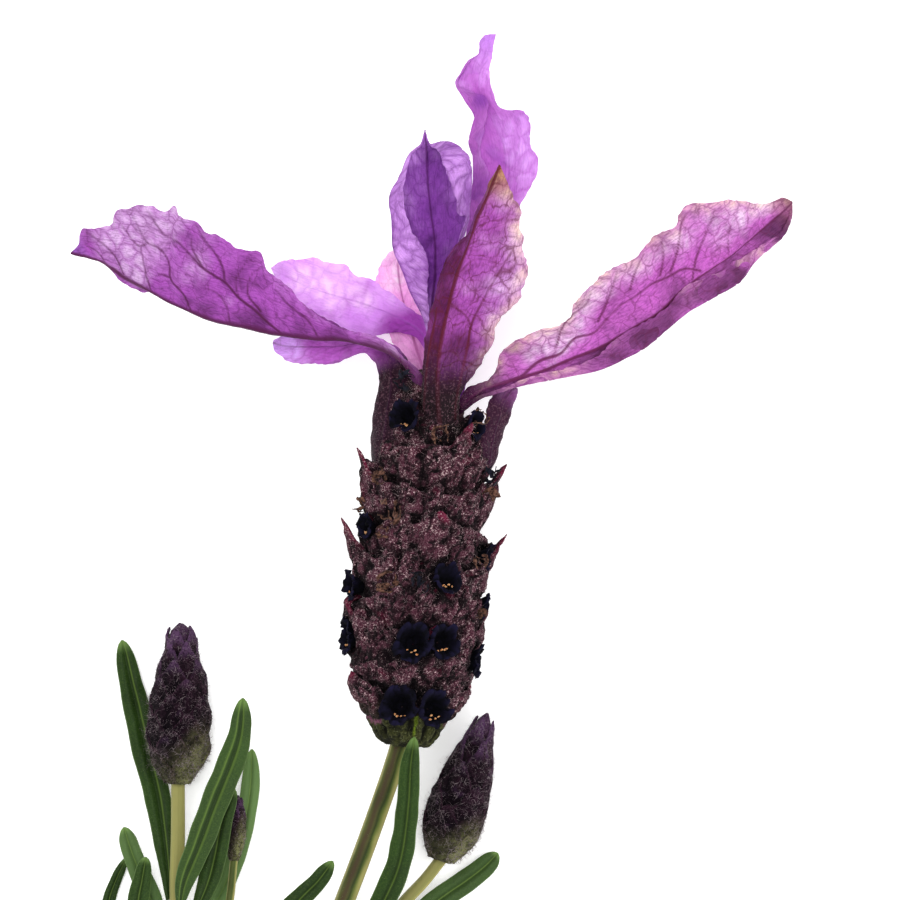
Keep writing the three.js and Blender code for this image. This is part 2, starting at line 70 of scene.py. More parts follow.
class Slot(Enum):
    """Material slots of the record."""

    STEM = "stem"
    LEAF = "leaf"
    BRACT = "bract"
    SPIKE = "spike"
    SPIKE_BASE = "spike_base"
    BUD = "bud"


# Numbers and curves


def under_lens(points: np.ndarray) -> np.ndarray:
    """Move points sideways so that the camera sees them where they are drawn, whatever their height.

    Args:
        points: places in the sprig's frame, in rows, as drawn at the height of the spike.

    Returns:
        The places, unmoved below the picture's lower edge.
    """
    moved = points.copy()
    shown = smoothstep(*PICTURE_END, points[:, 1])
    moved[:, :2] *= (1 - shown * (points[:, 2] - SPIKE_HEIGHT) / CAMERA_HEIGHT)[:, None]
    return moved


def from_picture(rows: Rows) -> np.ndarray:
    """Turn places on the picture into millimetres.

    Args:
        rows: x and y in pixels and the height in millimetres, one row for each point.

    Returns:
        The same points in the sprig's frame.
    """
    table = np.array(rows, float)
    table[:, 0] = (table[:, 0] - PICTURE_CENTRE) / PIXELS_PER_MM
    table[:, 1] = (PICTURE_CENTRE - table[:, 1]) / PIXELS_PER_MM
    return under_lens(table)


def curve_at(rows: np.ndarray, t: np.ndarray, even: bool = False) -> np.ndarray:
    """Read a smooth curve through rows of numbers.

    Args:
        rows: the points, of any width. The first three numbers of each are a place.
        t: where to read it, from 0 to 1.
        even: space the rows evenly in t, and not by the length between them.

    Returns:
        One row for each value of t.
    """
    if even:
        knots = np.linspace(0, 1, len(rows))
    else:
        steps = np.linalg.norm(np.diff(rows[:, :3], axis=0), axis=1)
        knots = np.concatenate(([0.0], np.cumsum(steps))) / steps.sum()
    slopes = np.gradient(rows, knots, axis=0)
    i = np.clip(np.searchsorted(knots, t, side="right") - 1, 0, len(knots) - 2)
    gap = (knots[i + 1] - knots[i])[:, None]
    f = (t - knots[i])[:, None] / gap
    start = (1 + 2 * f) * (1 - f) ** 2 * rows[i] + f * (1 - f) ** 2 * gap * slopes[i]
    return start + f**2 * (3 - 2 * f) * rows[i + 1] + f**2 * (f - 1) * gap * slopes[i + 1]


def unit(vectors: np.ndarray) -> np.ndarray:
    """Vectors of length one, along the last axis."""
    return vectors / np.maximum(np.linalg.norm(vectors, axis=-1, keepdims=True), 1e-9)


def hump(value: Any, width: Any) -> Any:
    """Bell-shaped rise, 1 where the value is 0 and nearly 0 from twice the width on."""
    return np.exp(-((value / width) ** 2))


def full_turn(steps: int, whole: float = 2 * math.pi) -> np.ndarray:
    """Evenly spaced angles of a full turn, without its end."""
    return np.linspace(0, whole, steps, endpoint=False)


def ripple(points: np.ndarray, size: float, seed: float) -> np.ndarray:
    """Smooth seeded noise at points.

    Args:
        points: places in millimetres, in an array of any shape that ends in three.
        size: width of one ripple in millimetres.
        seed: shifts the noise.

    Returns:
        One value between about -1 and 1 for each point.
    """
    flat = points.reshape(-1, 3) / size + seed
    return np.array([noise.noise(p) for p in flat.tolist()]).reshape(points.shape[:-1])


def smoothstep(low: float, high: float, value: Any) -> Any:
    """Smooth step from 0 at low to 1 at high."""
    x = np.clip((value - low) / (high - low), 0, 1)
    return x * x * (3 - 2 * x)


def distance_to_line(points: np.ndarray, line: np.ndarray) -> tuple[np.ndarray, np.ndarray]:
    """Distance of points from a line of straight stretches.

    Args:
        points: the points, in rows.
        line: the line's corners, in rows.

    Returns:
        The distance of each point, and how far along the line its nearest place is, from 0 to 1.
    """
    best = np.full(len(points), 1e9)
    where = np.zeros(len(points))
    for k, (a, b) in enumerate(zip(line[:-1], line[1:])):
        step = b - a
        f = np.clip((points - a) @ step / max(step @ step, 1e-12), 0, 1)
        d = np.linalg.norm(points - a - f[:, None] * step, axis=1)
        closer = d < best
        best[closer] = d[closer]
        where[closer] = (k + f[closer]) / (len(line) - 1)
    return best, where


# Forms: points and faces before they become a mesh


@dataclass
class Form:
    """Points, faces and what each point carries."""

    points: np.ndarray
    quads: np.ndarray
    triangles: np.ndarray
    tone: np.ndarray
    fur: np.ndarray
    uv: np.ndarray

    @staticmethod
    def join(forms: Sequence["Form"]) -> "Form":
        """One form that holds all of the given ones.

        Args:
            forms: the forms, in order.

        Returns:
            Their points and faces as one form.
        """
        starts = np.cumsum([0] + [len(form.points) for form in forms[:-1]])
        moved = [
            replace(form, quads=form.quads + start, triangles=form.triangles + start)
            for form, start in zip(forms, starts)
        ]
        return Form(*(np.concatenate([getattr(form, item.name) for form in moved]) for item in fields(Form)))

    def mesh(self, name: str) -> bpy.types.Mesh:
        """Make a Blender mesh, in metres and in the model's frame.

        Args:
            name: the mesh's name.

        Returns:
            The mesh, with the tone, fur and UV of its points.
        """
        mesh = bpy.data.meshes.new(name)
        mesh.vertices.add(len(self.points))
        mesh.vertices.foreach_set("co", ((self.points + ORIGIN_SHIFT) * MM).astype(np.float32).ravel())
        corners = np.concatenate([self.quads.ravel(), self.triangles.ravel()]).astype(np.int32)
        sizes = np.concatenate([np.full(len(self.quads), 4), np.full(len(self.triangles), 3)])
        mesh.loops.add(len(corners))
        mesh.loops.foreach_set("vertex_index", corners)
        mesh.polygons.add(len(sizes))
        mesh.polygons.foreach_set("loop_start", np.concatenate(([0], np.cumsum(sizes)[:-1])).astype(np.int32))
        mesh.update(calc_edges=True)
        mesh.shade_smooth()
        tone = mesh.color_attributes.new(TONE, "FLOAT_COLOR", "POINT")
        tone.data.foreach_set("color", self.tone.astype(np.float32).ravel())
        fur = mesh.attributes.new(FUR, "FLOAT", "POINT")
        fur.data.foreach_set("value", self.fur.astype(np.float32))
        layer = mesh.uv_layers.new(name=UV_MM)
        layer.data.foreach_set("uv", self.uv[corners].astype(np.float32).ravel())
        return mesh


def make_piece(name: str, form: Form, material: Material, nodes: Sequence[str] = ()) -> None:
    """Make a form into a piece that rides on the root body.

    Args:
        name: the piece's name.
        form: its points and faces.
        material: its finish.
        nodes: the solids that it stands for.
    """
    piece = bpy.data.objects.new(name, form.mesh(name))
    piece.data.materials.append(material)
    enlist(piece, nodes)


def enlist(piece: bpy.types.Object, nodes: Sequence[str] = ()) -> None:
    """Bring a finished piece into the scene.

    Args:
        piece: the object, with its final mesh.
        nodes: the solids that it stands for.
    """
    bpy.context.scene.collection.objects.link(piece)
    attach(piece, "root")
    if nodes:
        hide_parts(*nodes)
    LOG.info("%s: %d faces", piece.name, len(piece.data.polygons))


def spread(shape: tuple[int, int], tone: Sequence[Any], fur: Any) -> tuple[np.ndarray, np.ndarray]:
    """Give each point of a grid its tone and fur.

    Args:
        shape: rows and columns of the grid.
        tone: four numbers, or arrays that fit the grid.
        fur: a number, or an array that fits the grid.

    Returns:
        The tone, with the grid's shape, and the fur, in one row.
    """
    parts = [np.broadcast_to(part, shape) for part in tone]
    return np.stack(parts, axis=-1), np.broadcast_to(fur, shape).ravel()


def grid_normals(grid: np.ndarray) -> np.ndarray:
    """Normals of a grid of points whose rows run ahead and whose columns run to the right.

    Args:
        grid: points in rows and columns.

    Returns:
        One vector of length one for each point.
    """
    normals = np.cross(np.gradient(grid, axis=1), np.gradient(grid, axis=0))
    for end, inner in ((0, 1), (-1, -2)):
        weak = np.linalg.norm(normals[end], axis=-1) < 1e-4
        normals[end][weak] = normals[inner][weak]
    return unit(normals)


def grid_uv(grid: np.ndarray) -> np.ndarray:
    """Lengths in millimetres along and across a grid, from its middle column.

    Args:
        grid: points in rows and columns.

    Returns:
        Two lengths for each point.
    """
    middle = grid.shape[1] // 2
    along = np.linalg.norm(np.diff(grid[:, middle], axis=0), axis=-1)
    across = np.linalg.norm(np.diff(grid, axis=1), axis=-1)
    v = np.concatenate((np.zeros((len(grid), 1)), np.cumsum(across, axis=1)), axis=1)
    u = np.repeat(np.concatenate(([0.0], np.cumsum(along)))[:, None], grid.shape[1], axis=1)
    return np.stack((u, v - v[:, middle : middle + 1]), axis=-1)


def shell(grid: np.ndarray, thickness: float, tone: Sequence[Any], fur: Any, under_fur: float = 0.0) -> Form:
    """Thicken a grid into a closed sheet that thins towards its margins.

    Args:
        grid: points in rows ahead and columns to the right.
        thickness: of the sheet at its middle.
        tone: its four numbers, each one value or an array that fits the grid.
        fur: how furry the upper side is, in the same way.
        under_fur: share of that fur on the lower side.

    Returns:
        The closed form, with its upper side first.
    """
    rows, columns = grid.shape[:2]
    inset = [np.minimum(np.arange(count), np.arange(count)[::-1]) for count in (rows, columns)]
    thinned = np.clip(0.4 + 0.3 * np.minimum.outer(*inset), 0, 1)
    lift = grid_normals(grid) * (0.5 * thickness * thinned)[..., None]
    index = np.arange(rows * columns).reshape(rows, columns)
    under = rows * columns
    upper = np.stack((index[:-1, :-1], index[:-1, 1:], index[1:, 1:], index[1:, :-1]), axis=-1).reshape(-1, 4)
    loop = np.concatenate((index[0, :-1], index[:-1, -1], index[-1, :0:-1], index[:0:-1, 0]))
    after = np.roll(loop, -1)
    side = np.stack((after, loop, loop + under, after + under), axis=-1)
    uv = grid_uv(grid).reshape(-1, 2)
    tones, furs = spread((rows, columns), tone, fur)
    tones = tones.reshape(-1, 4)
    return Form(
        np.concatenate(((grid + lift).reshape(-1, 3), (grid - lift).reshape(-1, 3))),
        np.concatenate((upper, upper[:, ::-1] + under, side)),
        np.zeros((0, 3), int),
        np.concatenate((tones, tones)),
        np.concatenate((furs, furs * under_fur)),
        np.concatenate((uv, uv)),
    )


def tube(rings: np.ndarray, tone: Sequence[Any] = (0.0,) * 4, fur: Any = 0.0) -> Form:
    """Skin a row of closed rings, with both ends closed to a point at their middle.

    Args:
        rings: rings of points, one after another.
        tone: its four numbers, each one value or an array that fits the rings.
        fur: how furry it is, in the same way.

    Returns:
        The closed form, with its faces outwards.
    """
    count, sides = rings.shape[:2]
    index = np.arange(count * sides).reshape(count, sides)
    nxt = np.roll(index, -1, axis=1)
    quads = np.stack((index[:-1], nxt[:-1], nxt[1:], index[1:]), axis=-1).reshape(-1, 4)
    foot, top = count * sides, count * sides + 1
    triangles = np.concatenate((
        np.stack((nxt[0], index[0], np.full(sides, foot)), axis=-1),
        np.stack((index[-1], nxt[-1], np.full(sides, top)), axis=-1),
    ))
    points = np.concatenate((rings.reshape(-1, 3), rings[[0, -1]].mean(axis=1)))
    corner = points[quads] - points.mean(axis=0)
    volume = np.einsum("ij,ij->i", corner[:, 0], np.cross(corner[:, 1], corner[:, 2])).sum()
    volume += np.einsum("ij,ij->i", corner[:, 0], np.cross(corner[:, 2], corner[:, 3])).sum()
    if volume < 0:
        quads, triangles = quads[:, ::-1], triangles[:, ::-1]
    along = np.concatenate(([0.0], np.cumsum(np.linalg.norm(np.diff(rings.mean(axis=1), axis=0), axis=-1))))
    u = np.repeat(along[:, None], sides, axis=1)
    v = np.repeat(np.linspace(0, 1, sides)[None], count, axis=0)
    uv = np.stack((u, v), axis=-1).reshape(-1, 2)
    tones, furs = spread((count, sides), tone, fur)
    return Form(
        points,
        quads,
        triangles,
        np.concatenate((tones.reshape(-1, 4), tones[[0, -1]].mean(axis=1))),
        np.concatenate((furs, np.zeros(2))),
        np.concatenate((uv, uv[[0, -1]])),
    )


def sweep(route: np.ndarray, profile: np.ndarray, up: np.ndarray) -> np.ndarray:
    """Carry a cross-section along a route.

    Args:
        route: points of the route.
        profile: for each point of the route, a ring of offsets to the right and up.
        up: a direction that stays on the upper side.

    Returns:
        The rings of points.
    """
    ahead = unit(np.gradient(route, axis=0))
    right = unit(np.cross(ahead, up))
    top = np.cross(right, ahead)
    return route[:, None] + profile[..., :1] * right[:, None] + profile[..., 1:] * top[:, None]


def stand_on(origin: np.ndarray, direction: np.ndarray, local: np.ndarray, up: np.ndarray) -> np.ndarray:
    """Place local points at an origin.

    Args:
        origin: where they go.
        direction: where their z points.
        local: the points.
        up: the direction that their y stays nearest to.

    Returns:
        The points in the sprig's frame.
    """
    z = unit(direction)
    x = unit(np.cross(up, z))
    y = np.cross(z, x)
    return origin + local[..., :1] * x + local[..., 1:2] * y + local[..., 2:] * z


# Finishes


class Joined(Enum):
    """Ways to join the parts of a mask."""

    PRODUCT = "MULTIPLY"
    SUM = "ADD"


def colour(code: str) -> tuple[float, float, float, float]:
    """Turn an sRGB hex value into a linear colour."""
    channels = [int(code[i : i + 2], 16) / 255 for i in (1, 3, 5)]
    linear = [c / 12.92 if c <= 0.04045 else ((c + 0.055) / 1.055) ** 2.4 for c in channels]
    return (*linear, 1.0)


def add_node(tree: Tree, kind: str, inputs: dict[Any, Any] | None = None, **settings: Any) -> Any:
    """Add a node with its settings and links.

    Args:
        tree: where it goes.
        kind: the node's type.
        inputs: for each input, by name or number, a value or the socket that feeds it.
        settings: properties of the node.

    Returns:
        The new node's output sockets.
    """
    made = tree.nodes.new(kind)
    for key, value in settings.items():
        setattr(made, key, value)
    for key, value in (inputs or {}).items():
        if isinstance(value, bpy.types.NodeSocket):
            tree.links.new(value, made.inputs[key])
        else:
            made.inputs[key].default_value = value
    return made.outputs


def blank_material(name: str) -> tuple[Material, Tree]:
    """A material with an empty node tree.

    Args:
        name: the material's name.

    Returns:
        The material and its node tree.
    """
    material = bpy.data.materials.new(name)
    material.use_nodes = True
    material.node_tree.nodes.clear()
    return material, material.node_tree


def read_skin(tree: Tree) -> tuple[Any, Any, Any, Any]:
    """The sockets of the four numbers of a skin's tone."""
    tone = add_node(tree, "ShaderNodeAttribute", attribute_name=TONE)
    parts = add_node(tree, "ShaderNodeSeparateColor", {0: tone["Color"]})
    return parts[0], parts[1], parts[2], tone["Alpha"]


def mask(tree: Tree, *parts: Any, how: Joined = Joined.PRODUCT) -> Any:
    """How much of something shows, as the product or sum of several parts.

    Args:
        tree: the material's tree.
        parts: sockets or numbers, or a socket with the two ends of the range that is read from it and the
            two values that they turn to.
        how: product or sum.

    Returns:
        The socket of the mask.
    """
    joined = None
    for part in parts:
        if isinstance(part, tuple):
            ends = dict(enumerate(part))
            part = add_node(tree, "ShaderNodeMapRange", ends, interpolation_type="SMOOTHSTEP")[0]
        if joined is None:
            joined = part
        else:
            pair = {0: joined, 1: part}
            joined = add_node(tree, "ShaderNodeMath", pair, operation=how.value, use_clamp=True)[0]
    return joined


def paint(tree: Tree, base: Any, layers: Sequence[tuple[Any, ...]]) -> Any:
    """Lay colours over one another.

    Args:
        tree: the material's tree.
        base: the lowest colour.
        layers: for each colour over it, its mask, its hex value and, where it isn't plain, how it blends.

    Returns:
        The socket of the colour seen from above.
    """
    for shown, code, *blend in layers:
        inputs = {0: shown, 6: base, 7: colour(code)}
        base = add_node(tree, "ShaderNodeMix", inputs, data_type="RGBA", blend_type=(blend or ["MIX"])[0])[2]
    return base


def tissue(
    tree: Tree, base: Any, layers: Sequence[tuple[Any, ...]], height: Any, relief: float,
    rough: float, gloss: float, sheen: float, through: float = 0.0,
) -> None:
    """Finish a material as plant tissue that lets some light through.

    Args:
        tree: the material's tree.
        base: its lowest colour.
        layers: the colours over it, as paint takes them.
        height: the socket that drives its relief.
        relief: height of the relief in millimetres.
        rough: roughness.
        gloss: level of its plain reflection, low where down breaks it up.
        sheen: weight of the soft sheen of fine down.
        through: share of the light that passes through.
    """
    base = paint(tree, base, layers)
    normal = add_node(tree, "ShaderNodeBump", {"Height": height, "Distance": relief * MM, "Strength": 1.0})[0]
    inputs = {
        "Base Color": base, "Roughness": rough, "Sheen Weight": sheen, "Specular IOR Level": gloss,
        "Normal": normal,
    }
    shader = add_node(tree, "ShaderNodeBsdfPrincipled", inputs)[0]
    if through > 0:
        back = add_node(tree, "ShaderNodeBsdfTranslucent", {"Color": base, "Normal": normal})[0]
        shader = add_node(tree, "ShaderNodeMixShader", {0: through, 1: shader, 2: back})[0]
    add_node(tree, "ShaderNodeOutputMaterial", {"Surface": shader})


@dataclass(frozen=True)
class BractFinish:
    """Papery crown bract: thin coloured tissue over a net of darker veins, matt with a faint sheen.

    The colour runs from the woolly foot to the body and on to the tip. It pales in the meshes between the
    veins and at the margins. Tone: veins, share of the length, nearness of the margin, tint and painted shade
    (0 deep, 1 pale): deeper and paler patches of its colour, and on folded bracts painted shade and light.
    """

    name: str
    foot: str
    body: str
    deep: str
    pale: str
    tip: str
    vein: str
    foot_hold: float = 0.08  # share of the length up to which the foot's colour holds
    foot_end: float = 0.3  # and at which it has gone
    tip_start: float = 0.9  # share of the length at which the tip's colour begins
    rim_pale: float = 0.5  # how far the margin goes to its own colour
    edge: str = ""  # colour of the margin, where it isn't the pale one
    net: float = 0.45  # strength of the net of small veins
    through: float = 0.35
    cell: float = 1.5  # width of a mesh of the vein net, in millimetres
    drift: float = 1.3  # how far the net strays from even cells, in millimetres
    fibre: float = 0.6  # strength of its fine streaks
    streak: str = "#b4a0b8"
    fleck: str = "#8f6473"  # pale hairs on the woolly foot
    hairs_per_mm: float = 4.6
    relief: float = 0.26

    def make(self) -> Material:
        """Build the material.

        Returns:
            The material.
        """
        material, tree = blank_material(self.name)
        vein, along, rim, wash = read_skin(tree)
        uv = add_node(tree, "ShaderNodeUVMap", uv_map=UV_MM)[0]
        place = add_node(tree, "ShaderNodeTexCoord")["Object"]
        drift = add_node(tree, "ShaderNodeTexNoise", {"Vector": uv, "Scale": 0.8, "Detail": 3.0})["Color"]
        inputs = {0: drift, 1: (self.drift, self.drift, 0.0)}
        shift = add_node(tree, "ShaderNodeVectorMath", inputs, operation="MULTIPLY")[0]
        warped = add_node(tree, "ShaderNodeVectorMath", {0: uv, 1: shift}, operation="ADD")[0]
        fibre = add_node(tree, "ShaderNodeMapping", {0: uv, 3: (0.9, 4.0, 1.0)})[0]
        broad, small = (
            add_node(
                tree, "ShaderNodeTexVoronoi", {"Vector": warped, "Scale": 1 / width, "Randomness": 0.95},
                feature="DISTANCE_TO_EDGE",
            )[0]
            for width in (self.cell, self.cell * 0.34)
        )
        cloud, patch, streak, grain = (
            add_node(tree, "ShaderNodeTexNoise", {"Vector": vector, "Scale": scale, "Detail": detail})[0]
            for vector, scale, detail in (
                (uv, 0.5, 3.0), (warped, 0.32, 2.0), (fibre, 1.5, 5.0),
                (place, self.hairs_per_mm * PER_MM, 2.0),
            )
        )
        puff = mask(tree, (broad, 0.02, 0.3, 0.0, 1.0))
        cells = mask(tree, mask(tree, puff, 0.5), 0.5, how=Joined.SUM)
        woolly = mask(tree, (along, self.foot_hold, self.foot_end, 1.0, 0.0))
        deep_tint_and_shade = mask(tree, (wash, 0.5, 0.0, 0.0, 1.0), (patch, 0.5, 0.72, 0.0, 0.5), how=Joined.SUM)
        faded = ((cloud, 0.3, 0.6, 0.3, 1.0), (wash, 0.2, 0.5, 0.0, 1.0))
        margin = mask(tree, rim, self.rim_pale, *faded, cells)
        coarse = mask(tree, (broad, 0.0, 0.06, 1.0, 0.0), (cloud, 0.3, 0.6, 0.3, 1.0), self.net)
        fine = mask(tree, (small, 0.0, 0.1, 1.0, 0.0), self.net * 0.45)
        raised = [mask(tree, *pair) for pair in ((streak, 0.4), (puff, 0.35), (vein, 0.25))]
        height = mask(tree, *raised, how=Joined.SUM)
        # The deep and the pale layers carry the bract's tint, and on folded bracts painted shade and light.
        layers = (
            (deep_tint_and_shade, self.deep),
            (mask(tree, (wash, 0.5, 1.0, 0.0, 1.0), cells), self.pale),
            (margin, self.edge or self.pale),
            (mask(tree, (along, self.tip_start, 1.0, 0.0, 0.9)), self.tip),
            (mask(tree, (streak, 0.4, 0.68, 0.0, self.fibre)), self.streak, "MULTIPLY"),
            (coarse, self.vein),
            (fine, self.vein),
            (woolly, self.foot),
            (mask(tree, (vein, 0.1, 0.9, 0.0, 0.94), (woolly, 0.0, 1.0, 1.0, 0.25)), self.vein),
            (mask(tree, woolly, (grain, 0.52, 0.66, 0.0, 0.26)), self.fleck),
        )
        tissue(tree, colour(self.body), layers, height, self.relief, 0.6, 0.12, 0.03, self.through)
        return material


@dataclass(frozen=True)
class VelvetFinish:
    """Woolly bract of the spike or of a bud: dark tissue under short curled down, with no gloss.

    Tone: tip colour, under colour, painted light and shade (0 in the painted shade of creases, 1 lit, and on
    the buds also their pale hairy margins), midrib. The down's flecks are drawn about 0.15 mm wide, wider
    than the real hairs, so that they show.
    """

    name: str
    dark: str
    body: str
    fleck: str
    tip: str
    under: str
    rib: str
    fleck_share: float = 0.5
    blush: float = 0.35  # strength of the patches of the tip colour
    patches_per_mm: float = 0.85
    blushes_per_mm: float = 0.54
    hairs_per_mm: float = 5.4
    relief: float = 0.16

    def make(self) -> Material:
        """Build the material.

        Returns:
            The material.
        """
        material, tree = blank_material(self.name)
        tip, under, relief, rib = read_skin(tree)
        place = add_node(tree, "ShaderNodeTexCoord")["Object"]
        patches, blush, down = (
            add_node(tree, "ShaderNodeTexNoise", {
                "Vector": place, "Scale": rate * PER_MM, "Detail": detail, "Roughness": rough,
                "Distortion": bent,
            })
            for rate, detail, rough, bent in (
                (self.patches_per_mm, 6.0, 0.68, 0.0), (self.blushes_per_mm, 3.0, 0.5, 0.6),
                (self.hairs_per_mm, 3.0, 0.75, 0.6),
            )
        )
        # Painted shade: the body colour gives way to the dark one where the third tone number is low, in
        # creases, under rims and round florets; the patches vary it at random.
        lit = mask(tree, (relief, 0.05, 0.7, 0.0, 1.0), (patches[0], 0.38, 0.56, 0.16, 1.12))
        # The pale flecks of down show mostly where that painted light falls.
        shown = mask(tree, mask(tree, lit, (blush[0], 0.38, 0.6, 0.2, 1.1)), 0.06, how=Joined.SUM)
        layers = (
            (lit, self.body),
            (mask(tree, (blush["Color"], 0.58, 0.72, 0.0, self.blush)), self.tip),
            (mask(tree, under, (patches[0], 0.36, 0.58, 0.22, 1.08)), self.under),
            (mask(tree, (tip, 0.15, 0.8, 0.0, 1.0)), self.tip),
            (mask(tree, (rib, 0.2, 0.8, 0.0, 1.0)), self.rib),
            (mask(tree, (down[0], 0.49, 0.38, 0.0, 0.75)), self.dark),
            (mask(tree, (down[0], 0.56, 0.64, 0.0, self.fleck_share), shown), self.fleck),
        )
        tissue(tree, colour(self.dark), layers, down[0], self.relief, 0.95, 0.03, 0.02)
        return material


@dataclass(frozen=True)
class GreenFinish:
    """Leaf or stem: green skin with a faint wax bloom. Tone: light lines, dark lines, margin, brown flush."""

    name: str
    body: str
    dark: str
    line: str
    margin: str
    flush: str
    grain: float  # width of its fine mottling in millimetres
    sheen: float = 0.04
    clouds_per_mm: float = 0.26
    relief: float = 0.02
    through: float = 0.12

    def make(self) -> Material:
        """Build the material.

        Returns:
            The material.
        """
        material, tree = blank_material(self.name)
        line, dark, margin, flush = read_skin(tree)
        place = add_node(tree, "ShaderNodeTexCoord")["Object"]
        broad, fine = (
            add_node(tree, "ShaderNodeTexNoise", {"Vector": place, "Scale": scale, "Detail": detail})[0]
            for scale, detail in ((self.clouds_per_mm * PER_MM, 3.0), (1 / (self.grain * MM), 2.0))
        )
        layers = (
            (mask(tree, (broad, 0.35, 0.7, 0.0, 0.6)), self.dark),
            (mask(tree, (fine, 0.35, 0.75, 0.0, 0.09)), self.line),
            (dark, self.dark),
            (flush, self.flush),
            (margin, self.margin),
            (line, self.line),
        )
        tissue(tree, colour(self.body), layers, fine, self.relief, 0.55, 0.14, self.sheen, self.through)
        return material


@dataclass(frozen=True)
class SimpleFinish:
    """Small part of one colour with a mottling of a second: hair, corolla, anther or withered petal.

    Tone, where an edge colour is given: where it shows; on the corolla, painted sheen on its raised folds,
    growing towards the lobes' edges.
    """

    name: str
    body: str
    second: str
    grain: float  # width of the mottling in millimetres
    rough: float = 0.7
    sheen: float = 0.2
    through: float = 0.0
    edge: str = ""
    relief: float = 0.08

    def make(self) -> Material:
        """Build the material.

        Returns:
            The material.
        """
        material, tree = blank_material(self.name)
        place = add_node(tree, "ShaderNodeTexCoord")["Object"]
        inputs = {"Vector": place, "Scale": 1 / (self.grain * MM), "Detail": 3.0}
        mottle = add_node(tree, "ShaderNodeTexNoise", inputs)[0]
        layers = [(mask(tree, (mottle, 0.35, 0.68, 0.0, 1.0)), self.second)]
        if self.edge:
            # The edge colour: on the corolla, painted sheen on its raised folds.
            layers.append((mask(tree, read_skin(tree)[0], 0.85), self.edge))
        tissue(
            tree, colour(self.body), layers, mottle, self.relief, self.rough, 0.06, self.sheen, self.through
        )
        return material


# Hair, grown by Geometry Nodes


class HairShape(Enum):
    """Forms of a single hair."""

    STRAIGHT = "straight"
    CURLED = "curled"


def single_hair(tree: Tree, shape: HairShape, length: Any, thickness: Any) -> Any:
    """Add the nodes of one hair, with its root at the origin and its way up along Z.

    Args:
        tree: where they go.
        shape: a straight spike of four faces, or an arc that tapers.
        length: socket of its length.
        thickness: socket of its radius at the root.

    Returns:
        The socket of its mesh.
    """
    if shape is HairShape.STRAIGHT:
        inputs = {"Vertices": 3, "Radius Top": 0.0, "Radius Bottom": thickness, "Depth": length}
        return add_node(tree, "GeometryNodeMeshCone", inputs, fill_type="TRIANGLE_FAN")["Mesh"]
    radius = add_node(tree, "ShaderNodeMath", {0: length, 1: 0.42}, operation="MULTIPLY")[0]
    inputs = {"Resolution": 4, "Radius": radius, "Start Angle": 0.0, "Sweep Angle": 2.4}
    arc = add_node(tree, "GeometryNodeCurveArc", inputs)[0]
    back = add_node(tree, "ShaderNodeMath", {0: radius, 1: -1.0}, operation="MULTIPLY")[0]
    move = add_node(tree, "ShaderNodeCombineXYZ", {0: back})[0]
    inputs = {"Geometry": arc, "Translation": move, "Rotation": (math.pi / 2, 0, 0)}
    placed = add_node(tree, "GeometryNodeTransform", inputs)[0]
    along = add_node(tree, "GeometryNodeSplineParameter")["Factor"]
    taper = add_node(tree, "ShaderNodeMapRange", {0: along, 1: 0.0, 2: 1.0, 3: 1.0, 4: 0.25})[0]
    section = add_node(tree, "GeometryNodeCurvePrimitiveCircle", {"Resolution": 3, "Radius": thickness})[0]
    inputs = {"Curve": placed, "Profile Curve": section, "Scale": taper, "Fill Caps": True}
    return add_node(tree, "GeometryNodeCurveToMesh", inputs)[0]


def hair_tree(shape: HairShape) -> tuple[Tree, dict[str, str]]:
    """Build the tree that covers a skin in short tapering hairs.

    Args:
        shape: form of a single hair.

    Returns:
        The tree, and the identifier of each of its inputs by name.
    """
    tree = bpy.data.node_groups.new(shape.value + "_down", "GeometryNodeTree")
    face = tree.interface
    names = {}
    for label, kind in (
        ("Skin", "Geometry"), ("Density", "Float"), ("Length", "Float"), ("Thickness", "Float"),
        ("Lean", "Float"), ("Seed", "Int"), ("Finish", "Material"),
    ):
        names[label] = face.new_socket(label, in_out="INPUT", socket_type="NodeSocket" + kind).identifier
    face.new_socket("Coat", in_out="OUTPUT", socket_type="NodeSocketGeometry")
    given = add_node(tree, "NodeGroupInput")
    fur = add_node(tree, "GeometryNodeInputNamedAttribute", {"Name": FUR}, data_type="FLOAT")[0]
    density = add_node(tree, "ShaderNodeMath", {0: fur, 1: given["Density"]}, operation="MULTIPLY")[0]
    inputs = {"Mesh": given["Skin"], "Density": density, "Seed": given["Seed"]}
    roots = add_node(tree, "GeometryNodeDistributePointsOnFaces", inputs)
    hair = single_hair(tree, shape, given["Length"], given["Thickness"])
    turn = add_node(tree, "ShaderNodeCombineXYZ", {0: given["Lean"], 1: given["Lean"], 2: math.pi})[0]
    back = add_node(tree, "ShaderNodeVectorMath", {0: turn, 1: (-1, -1, -1)}, operation="MULTIPLY")[0]
    inputs = {0: back, 1: turn, "Seed": given["Seed"]}
    tilt = add_node(tree, "FunctionNodeRandomValue", inputs, data_type="FLOAT_VECTOR")[0]
    inputs = {"Rotation": roots["Rotation"], "Rotate By": tilt}
    pose = add_node(tree, "FunctionNodeRotateRotation", inputs, rotation_space="LOCAL")[0]
    size = add_node(tree, "FunctionNodeRandomValue", {2: 0.45, 3: 1.0, "Seed": 5}, data_type="FLOAT")[1]
    inputs = {"Points": roots["Points"], "Instance": hair, "Rotation": pose, "Scale": size}
    coat = add_node(tree, "GeometryNodeInstanceOnPoints", inputs)[0]
    real = add_node(tree, "GeometryNodeRealizeInstances", {0: coat})[0]
    painted = add_node(tree, "GeometryNodeSetMaterial", {"Geometry": real, "Material": given["Finish"]})[0]
    add_node(tree, "NodeGroupOutput", {0: painted})
    return tree, names


@dataclass
class Wardrobe:
    """The materials by name, and the trees that grow hair, one for each form of hair."""

    finishes: dict[str, Material]
    trees: dict[HairShape, tuple[Tree, dict[str, str]]] = field(
        default_factory=lambda: {shape: hair_tree(shape) for shape in HairShape}
    )


